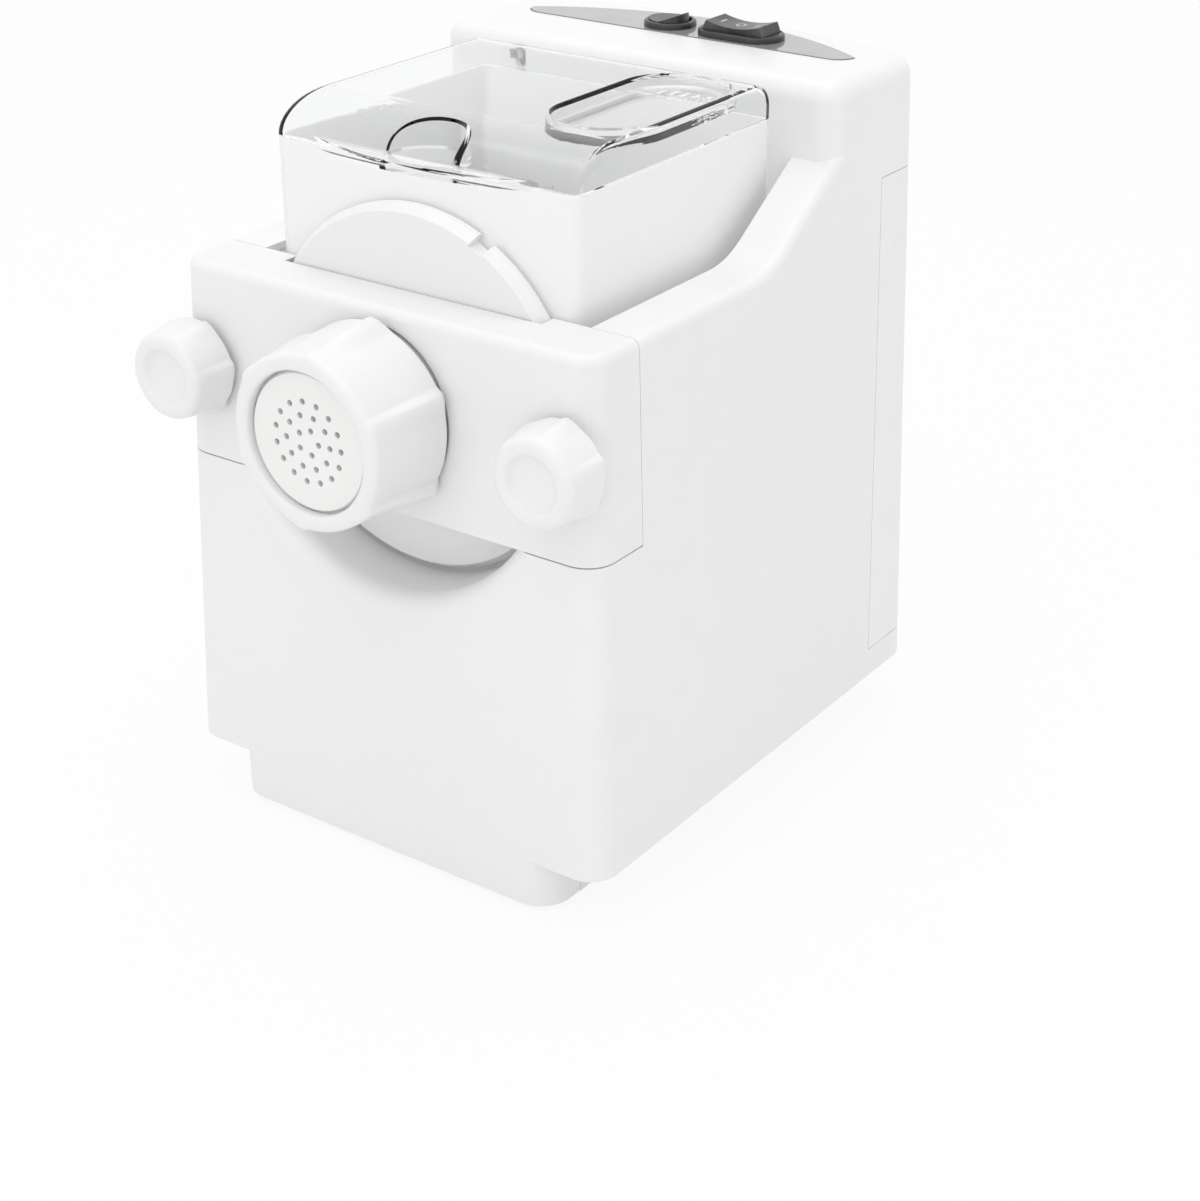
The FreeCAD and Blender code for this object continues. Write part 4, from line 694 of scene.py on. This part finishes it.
@dataclass
class RingNut(RidgedGrip):
    """The ring nut: a ridged wall with a lipped mouth.

    Attributes:
        mouth_r: Radius of the front opening.
        mouth_round: Radius of the opening's rounded edge.
        bore_r: Radius of the bore.
        lip: Thickness of the front lip.
    """

    first: float = 24.0
    back_y: float = -3.2
    front_y: float = -42.2
    back_r: float = 36.6
    front_r: float = 35.0
    edge_depth: float = 3.0
    edge_inset: float = 3.0
    edge_steps: int = 6
    ridges: int = 6
    ridge: float = 3.6
    rise: float = 15.0
    fall: float = 5.5
    start: float = 0.3
    full: float = 0.8
    ease: float = 0.55
    ease_from: float = 0.9
    valley: float = 0.4
    shares: Sequence[float] = (0.985, 0.97, 0.95, 0.92, 0.88, 0.8, 0.7, 0.6, 0.5, 0.4, 0.3, 0.2, 0.1, 0.0)
    chamfer: Sequence[tuple[float, float]] = ((0.8, 0.0), (0.2, 0.25))
    mouth_r: float = 28.0
    mouth_round: float = 1.6
    bore_r: float = 33.4
    lip: float = 4.5

    def relief(self, angle: float, share: float) -> float:
        """The ridges, and a wave between them that sinks the wall evenly along its length."""
        grown, eased = self.along(share)
        turn = math.radians(self.ridges * turn_offset(angle, self.first))
        return self.height(angle) * self.ridge * grown * eased - 0.5 * self.valley * (1 - math.cos(turn))

    def build(self, shop: Workshop) -> bpy.types.Object:
        """Makes the nut.

        Args:
            shop: The workshop.

        Returns:
            The finished piece.
        """
        rings = [circle(self.bore_r, self.back_y), *self.outline()]
        for t in quarter(6):
            inset, step = self.mouth_round * (1 - math.sin(t)), self.mouth_round * (1 - math.cos(t))
            rings.append(circle(self.mouth_r + inset, self.front_y + step))
        lip_y = self.front_y + self.lip
        rings += [circle(self.mouth_r, lip_y), circle(self.bore_r, lip_y)]
        nut = shop.revolved("ring_nut_body", rings, 0.0, "grip", steps=432, sharp_angle=40.0, closed=True)
        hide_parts("ring_nut")
        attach(nut, "nut")
        LOG.info("ring nut")
        return nut


@dataclass
class GripKnob(RidgedGrip):
    """A clamping knob: a lobed wall with a dished face.

    Attributes:
        side: -1 for the left knob and 1 for the right.
        hole_r: Radius of the hole for the insert.
        hole_depth: Depth of that hole.
        dish: Rings of the dish, each as its radius and its depth.
    """

    back_y: float = -4.0
    front_y: float = -23.4
    back_r: float = 19.4
    front_r: float = 17.7
    edge_depth: float = 3.2
    edge_inset: float = 4.0
    edge_steps: int = 8
    ridges: int = 6
    ridge: float = 1.1
    rise: float = 24.0
    fall: float = 9.0
    start: float = 0.2
    full: float = 0.85
    ease: float = 0.45
    ease_from: float = 0.85
    valley: float = 0.5
    shares: Sequence[float] = (0.98, 0.95, 0.9, 0.85, 0.7, 0.55, 0.4, 0.2, 0.0)
    chamfer: Sequence[tuple[float, float]] = ((0.7, 0.0), (0.15, 0.2))
    side: int = 1
    hole_r: float = 6.6
    hole_depth: float = 14.6
    dish: Sequence[tuple[float, float]] = (
        (12.5, 0.02), (11.8, 0.12), (11.2, 0.45), (10.6, 1.1), (9.9, 1.8),
        (8.9, 2.3), (7.2, 2.55), (3.0, 2.65), (0.6, 2.7),
    )

    def relief(self, angle: float, share: float) -> float:
        """The lobes, and the wall that sinks between them as they grow."""
        grown, eased = self.along(share)
        high = self.height(angle)
        return (self.ridge * high * eased - self.valley * (1 - high)) * grown

    def build(self, shop: Workshop) -> bpy.types.Object:
        """Makes the knob.

        Args:
            shop: The workshop.

        Returns:
            The finished piece.
        """
        word = "left" if self.side < 0 else "right"
        rings = [circle(self.hole_r, self.back_y - self.hole_depth), circle(self.hole_r, self.back_y)]
        rings += self.outline()
        rings += [circle(radius, self.front_y + depth) for radius, depth in self.dish]
        x = self.side * KNOB_X
        knob = shop.revolved(f"knob_{word}_body", rings, x, "grip", steps=240, sharp_angle=50.0)
        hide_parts(f"knob_{word}")
        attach(knob, f"knob_body_{word}")
        LOG.info("knob %s", word)
        return knob


@dataclass
class SwitchMarks:
    """The three-position rocker's plain marks: one bar, a ring and two bars.

    Attributes:
        centre_x: Middle of the rocker.
        top_z: Height of the rocker's ends.
        hollow: Depth of the hollow in its top.
        saddle_r: Radius of the hollow.
        pitch: Distance between two marks.
        stroke: Width of a stroke.
        height: Height of a mark along y.
        bar_offset: Half the distance between the pair of bars.
        ring_half: Half the ring's width.
        sunk: How far a stroke reaches into the top.
        proud: How far it stands above the top.
    """

    centre_x: float = 23.5
    top_z: float = 302.0
    hollow: float = 2.2
    saddle_r: float = 46.0
    pitch: float = 8.6
    stroke: float = 0.8
    height: float = 4.6
    bar_offset: float = 0.9
    ring_half: float = 1.7
    sunk: float = 0.05
    proud: float = 0.06

    def surface(self, x: float) -> float:
        """The hollow top's height.

        Args:
            x: Distance from the rocker's middle.

        Returns:
            The height in millimetres.
        """
        return self.top_z + self.saddle_r - self.hollow - math.sqrt(self.saddle_r ** 2 - x ** 2)

    def strip(self, line: Sequence[tuple[float, float]], closed: bool, points: list[Vector],
              faces: list[list[int]]) -> None:
        """Adds one flat stroke that follows a line on the hollow top.

        Args:
            line: The stroke's middle line as x and y from the rocker's middle.
            closed: Whether the stroke joins up.
            points: The list that its points go to.
            faces: The list that its faces go to.
        """
        base = len(points)
        count = len(line)
        for i, (x, y) in enumerate(line):
            before = line[(i - 1) % count] if closed or i > 0 else line[i]
            after = line[(i + 1) % count] if closed or i < count - 1 else line[i]
            along = Vector((after[0] - before[0], after[1] - before[1])).normalized()
            for side in (-0.5, 0.5):
                px = x - along.y * side * self.stroke
                py = y + along.x * side * self.stroke
                for lift in (-self.sunk, self.proud):
                    points.append(place(self.centre_x + px, SWITCH_Y + py, self.surface(px) + lift))
        for i in range(count if closed else count - 1):
            a, b = base + 4 * i, base + 4 * ((i + 1) % count)
            for k, m in ((0, 1), (1, 3), (3, 2), (2, 0)):
                faces.append([a + k, a + m, b + m, b + k])
        if not closed:
            first, last = base, base + 4 * (count - 1)
            faces.append([first, first + 2, first + 3, first + 1])
            faces.append([last, last + 1, last + 3, last + 2])

    def build(self, shop: Workshop) -> bpy.types.Object:
        """Makes the marks.

        Args:
            shop: The workshop.

        Returns:
            The finished piece.
        """
        points: list[Vector] = []
        faces: list[list[int]] = []
        half = self.height / 2
        for x in (-self.pitch, self.pitch - self.bar_offset, self.pitch + self.bar_offset):
            self.strip([(x, -half + self.height * k / 6) for k in range(7)], False, points, faces)
        turns = [2 * math.pi * k / 40 for k in range(40)]
        self.strip([(self.ring_half * math.cos(t), half * math.sin(t)) for t in turns], True, points, faces)
        marks = shop.piece("rocker_marks", points, faces, "mark")
        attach(marks, "mode_switch")
        LOG.info("rocker marks")
        return marks


@dataclass
class ScrewSet:
    """Cross-head screws, one modelled and the rest instanced by Geometry Nodes.

    Attributes:
        node: The CAD node that the screws stand for.
        places: Each head's seat, in modelling millimetres.
        direction: Where the shanks point.
        head_r: Radius of the head.
        head_h: Height of the head.
        shank: Length of the shank.
        body: The body that carries them.
        shank_r: Radius of the shank.
        tip_r: Radius of the shank's end.
        tip_h: Length of its taper.
        rim: The height of the head's straight rim, as a share of the head's height.
        crown: The radius of the flat crown, as a share of the head's radius.
        recess_r: The radius of the recess's floor, as a share of the head's radius.
        recess_h: The height of that floor, as a share of the head's height.
        arm: The sine of twice the angle that half an arm of the cross takes up.
        arm_reach: Where an arm starts and ends, as shares of the head's radius.
        arm_depth: How deep an arm is, as a share of the head's height.
    """

    node: str
    places: Sequence[Point]
    direction: Point
    head_r: float
    head_h: float
    shank: float
    body: str = "housing"
    shank_r: float = 1.75
    tip_r: float = 0.6
    tip_h: float = 1.0
    rim: float = 0.35
    crown: float = 0.35
    recess_r: float = 0.2
    recess_h: float = 0.55
    arm: float = 0.42
    arm_reach: tuple[float, float] = (0.3, 0.8)
    arm_depth: float = 0.3

    def _profile(self) -> list[tuple[float, float]]:
        """The screw's outline from the recess's middle to the tip.

        Returns:
            Radius and z of each ring, in millimetres.
        """
        floor = -self.head_h * self.recess_h
        profile = [(0.35, floor), (self.head_r * self.recess_r, floor)]
        for t in quarter(5):
            radius = self.head_r * (self.crown + (1 - self.crown) * math.sin(t))
            profile.append((radius, -self.head_h * (self.rim + (1 - self.rim) * math.cos(t))))
        shank = [(self.shank_r, 0.0), (self.shank_r, self.shank - self.tip_h), (self.tip_r, self.shank)]
        return profile + [(self.head_r, 0.0)] + shank

    def _one(self, shop: Workshop) -> bpy.types.Object:
        """Models one screw along +z with a domed, cross-slotted head.

        Args:
            shop: The workshop.

        Returns:
            The screw, its seat at the origin.
        """
        steps = 48
        inner, outer = (share * self.head_r for share in self.arm_reach)
        profile = self._profile()
        points: list[Vector] = []
        for radius, z in profile:
            for i in range(steps):
                angle = 2 * math.pi * i / steps
                cross = abs(math.sin(2 * angle)) < self.arm and inner < radius < outer and z < 0
                depth = self.head_h * self.arm_depth if cross else 0.0
                x, y = radius * math.cos(angle), radius * math.sin(angle)
                points.append(Vector((x, y, z + depth)) / MM_PER_M)
        faces = ring_faces(len(profile), steps, closed=False)
        faces += [list(range(steps)), [(len(profile) - 1) * steps + i for i in reversed(range(steps))]]
        return shop.piece(f"{self.node}_one", points, faces, "screw")

    def _tree(self, one: bpy.types.Object, material: bpy.types.Material) -> tuple[bpy.types.NodeTree, str]:
        """Builds the tree that sets a screw on every point, each turned at random.

        Args:
            one: The modelled screw.
            material: Its material.

        Returns:
            The Geometry Nodes tree and the identifier of its Turn input.
        """
        tree = bpy.data.node_groups.new(f"{self.node}_tree", "GeometryNodeTree")
        tree.interface.new_socket("Geometry", in_out="INPUT", socket_type="NodeSocketGeometry")
        turn = tree.interface.new_socket("Turn", in_out="INPUT", socket_type="NodeSocketVector")
        tree.interface.new_socket("Geometry", in_out="OUTPUT", socket_type="NodeSocketGeometry")
        kit = NodeKit(tree)
        start = kit.add("NodeGroupInput")
        end = kit.add("NodeGroupOutput")
        source = kit.add("GeometryNodeObjectInfo")
        source.inputs["Object"].default_value = one
        spin = kit.add("FunctionNodeRandomValue", data_type="FLOAT")
        spin.inputs[2].default_value = 0.0
        spin.inputs[3].default_value = math.pi
        spin.inputs["Seed"].default_value = 7
        own = kit.add("ShaderNodeCombineXYZ")
        kit.link(spin.outputs[1], own.inputs["Z"])
        put = kit.add("GeometryNodeInstanceOnPoints")
        aim = kit.add("GeometryNodeRotateInstances")
        real = kit.add("GeometryNodeRealizeInstances")
        paint = kit.add("GeometryNodeSetMaterial")
        paint.inputs["Material"].default_value = material
        kit.link(start.outputs["Geometry"], put.inputs["Points"])
        kit.link(source.outputs["Geometry"], put.inputs["Instance"])
        kit.link(start.outputs["Turn"], put.inputs["Rotation"])
        kit.link(put.outputs["Instances"], aim.inputs["Instances"])
        kit.link(own.outputs["Vector"], aim.inputs["Rotation"])
        kit.link(aim.outputs["Instances"], real.inputs["Geometry"])
        kit.link(real.outputs["Geometry"], paint.inputs["Geometry"])
        kit.link(paint.outputs["Geometry"], end.inputs["Geometry"])
        return tree, turn.identifier

    def build(self, shop: Workshop) -> bpy.types.Object:
        """Makes the set as one mesh.

        Args:
            shop: The workshop.

        Returns:
            The finished piece.
        """
        one = self._one(shop)
        mesh = bpy.data.meshes.new(f"{self.node}_points")
        mesh.from_pydata([tuple(place(*p)) for p in self.places], [], [])
        points = bpy.data.objects.new(f"{self.node}_points", mesh)
        bpy.context.scene.collection.objects.link(points)
        modifier = points.modifiers.new("screws", "NODES")
        modifier.node_group, turn = self._tree(one, shop.materials["screw"])
        aim = Vector((0, 0, 1)).rotation_difference(Vector(self.direction)).to_euler()
        modifier[turn] = tuple(aim)
        bpy.context.view_layer.update()
        graph = bpy.context.evaluated_depsgraph_get()
        made = bpy.data.meshes.new_from_object(points.evaluated_get(graph))
        made.name = f"{self.node}_set"
        piece = bpy.data.objects.new(f"{self.node}_set", made)
        bpy.context.scene.collection.objects.link(piece)
        for spare in (points, one):
            bpy.data.objects.remove(spare)
        shop.tidy(piece)
        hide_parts(self.node)
        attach(piece, self.body)
        LOG.info("%s: %d screws", self.node, len(self.places))
        return piece


@dataclass(frozen=True)
class Light:
    """One soft area light aimed at the machine.

    Attributes:
        name: The light's name.
        position: Where it stands, in metres.
        size: Its edge, in metres.
        power: Its power in watts.
    """

    name: str
    position: Point
    size: float
    power: float

    def build(self, aim: Vector) -> None:
        """Makes the light.

        Args:
            aim: What it points at.
        """
        data = bpy.data.lights.new(self.name, "AREA")
        data.shape = "SQUARE"
        data.size = self.size
        data.energy = self.power
        lamp = bpy.data.objects.new(self.name, data)
        lamp.location = self.position
        lamp.rotation_euler = (aim - Vector(self.position)).to_track_quat("-Z", "Y").to_euler()
        bpy.context.scene.collection.objects.link(lamp)


LIGHTS = (
    Light("key", (0.1, -1.1, 1.75), 1.4, 4.0),
    Light("top", (-0.2, 0.3, 1.9), 1.6, 7.0),
    Light("low_front", (0.1, -1.7, 0.22), 1.5, 4.0),
    Light("right", (1.8, 0.2, 0.7), 1.4, 2.0),
)


@dataclass
class Studio:
    """The white room: floor, surrounding light, soft lamps and the camera.

    Attributes:
        world_strength: Brightness of the surrounding light on the object.
        floor_half: Half the floor's edge, in metres.
        floor_tone: The floor's own tone.
        floor_roughness: The floor's roughness.
        floor_glow: The share of plain white that the camera sees instead of the lit floor.
        aim: What the lights point at, in modelling millimetres.
        yaw: The camera's turn about the machine, in degrees.
        pitch: How far the camera looks down, in degrees.
        lens: The focal length, in millimetres.
        sensor: The sensor's width, in millimetres.
        eye: The camera's place in modelling millimetres.
    """

    world_strength: float = 0.84
    floor_half: float = 6.0
    floor_tone: float = 0.86
    floor_roughness: float = 0.9
    floor_glow: float = 0.9
    aim: Point = (0.0, 100.0, 150.0)
    yaw: float = 35.3
    pitch: float = 26.87
    lens: float = 69.33
    sensor: float = 36.0
    eye: Point = (536.08, -612.27, 521.91)

    def build(self) -> None:
        """Makes the room, the lights and the camera."""
        self._world()
        self._floor()
        for light in LIGHTS:
            light.build(place(*self.aim))
        self._camera()
        LOG.info("studio")

    @staticmethod
    def _seen_share(kit: NodeKit) -> bpy.types.NodeSocket:
        """1 for rays from the camera, also through glass or off a gloss, and 0 for light.

        Args:
            kit: The node kit of the material or world.

        Returns:
            The share's socket.
        """
        path = kit.add("ShaderNodeLightPath")
        direct = kit.maths("MAXIMUM", path.outputs["Is Camera Ray"], path.outputs["Is Glossy Ray"])
        return kit.maths("MAXIMUM", direct, path.outputs["Is Transmission Ray"])

    def _world(self) -> None:
        """A white surround that lights softly and looks pure white behind the object."""
        world = bpy.data.worlds.new("surround")
        world.use_nodes = True
        bpy.context.scene.world = world
        kit = NodeKit(world.node_tree)
        world.node_tree.nodes.clear()
        lit = kit.add("ShaderNodeBackground", in_Strength=self.world_strength, in_Color=(1.0, 1.0, 1.0, 1.0))
        seen = kit.add("ShaderNodeBackground", in_Strength=1.0, in_Color=(1.0, 1.0, 1.0, 1.0))
        mix = kit.add("ShaderNodeMixShader")
        out = kit.add("ShaderNodeOutputWorld")
        kit.link(self._seen_share(kit), mix.inputs[0])
        kit.link(lit.outputs[0], mix.inputs[1])
        kit.link(seen.outputs[0], mix.inputs[2])
        kit.link(mix.outputs[0], out.inputs["Surface"])

    def _floor(self) -> None:
        """A plain white floor that keeps a trace of the contact shadow."""
        size = self.floor_half
        mesh = bpy.data.meshes.new("floor")
        corners = [(-size, -size, 0), (size, -size, 0), (size, size, 0), (-size, size, 0)]
        mesh.from_pydata(corners, [], [(0, 1, 2, 3)])
        floor = bpy.data.objects.new("floor", mesh)
        bpy.context.scene.collection.objects.link(floor)
        material = bpy.data.materials.new("floor_white")
        material.use_nodes = True
        kit = NodeKit(material.node_tree)
        shader = material.node_tree.nodes["Principled BSDF"]
        shader.inputs["Base Color"].default_value = (self.floor_tone, self.floor_tone, self.floor_tone, 1.0)
        shader.inputs["Roughness"].default_value = self.floor_roughness
        glow = kit.add("ShaderNodeEmission", in_Color=(1.0, 1.0, 1.0, 1.0), in_Strength=1.0)
        share = kit.maths("MULTIPLY", self._seen_share(kit), self.floor_glow)
        mix = kit.add("ShaderNodeMixShader")
        kit.link(share, mix.inputs[0])
        kit.link(shader.outputs["BSDF"], mix.inputs[1])
        kit.link(glow.outputs["Emission"], mix.inputs[2])
        kit.link(mix.outputs[0], material.node_tree.nodes["Material Output"].inputs["Surface"])
        mesh.materials.append(material)

    def _camera(self) -> None:
        """The camera of the photograph."""
        data = bpy.data.cameras.new("camera")
        data.sensor_fit = "HORIZONTAL"
        data.sensor_width = self.sensor
        data.lens = self.lens
        data.clip_start = 0.01
        camera = bpy.data.objects.new("camera", data)
        camera.location = place(*self.eye)
        camera.rotation_euler = (math.radians(90.0 - self.pitch), 0.0, math.radians(self.yaw))
        bpy.context.scene.collection.objects.link(camera)
        bpy.context.scene.camera = camera


def cover_face_y(x: float, z: float) -> float:
    """Where the bowed rear wall's outer face lies.

    Args:
        x: Position across, in millimetres.
        z: Height, in millimetres.

    Returns:
        The y position in millimetres.
    """
    bow = COVER_BOW_R - math.sqrt(COVER_BOW_R ** 2 - x ** 2)
    return COVER_Y + COVER_LEAN * (COVER_TOP_Z - z) - bow


def screw_sets() -> list[ScrewSet]:
    """The three sets of screws.

    Returns:
        The sets, ready to build.
    """
    rear = [(x, cover_face_y(x, z) + 1.0, z) for x in (-81.0, 81.0) for z in (50.0, 234.0)]
    tray = [(x, y, 1.0) for x in (-74.0, 74.0) for y in (46.0, 118.0, 190.0)]
    case = [(x, 207.0, z) for x in (-47.0, 47.0) for z in (82.0, 162.0, 226.0)]
    return [
        ScrewSet("rear_screws", rear, (0, -1, 0), 3.4, 1.6, 12.0),
        ScrewSet("base_screws", tray, (0, 0, 1), 3.6, 0.9, 11.0),
        ScrewSet("gear_case_screws", case, (0, -1, 0), 3.6, 2.2, 14.0),
    ]


def main() -> None:
    """Builds the whole dressed machine in order."""
    logging.basicConfig(level=logging.INFO, format="%(name)s %(message)s")
    bpy.context.scene.view_settings.view_transform = "Standard"
    shop = Workshop()
    shop.dress_solids()
    Studio().build()
    RingNut().build(shop)
    GripKnob(11.0, side=-1).build(shop)
    GripKnob(23.0, side=1).build(shop)
    SwitchMarks().build(shop)
    for screws in screw_sets():
        screws.build(shop)


if __name__ == "__main__":
    main()
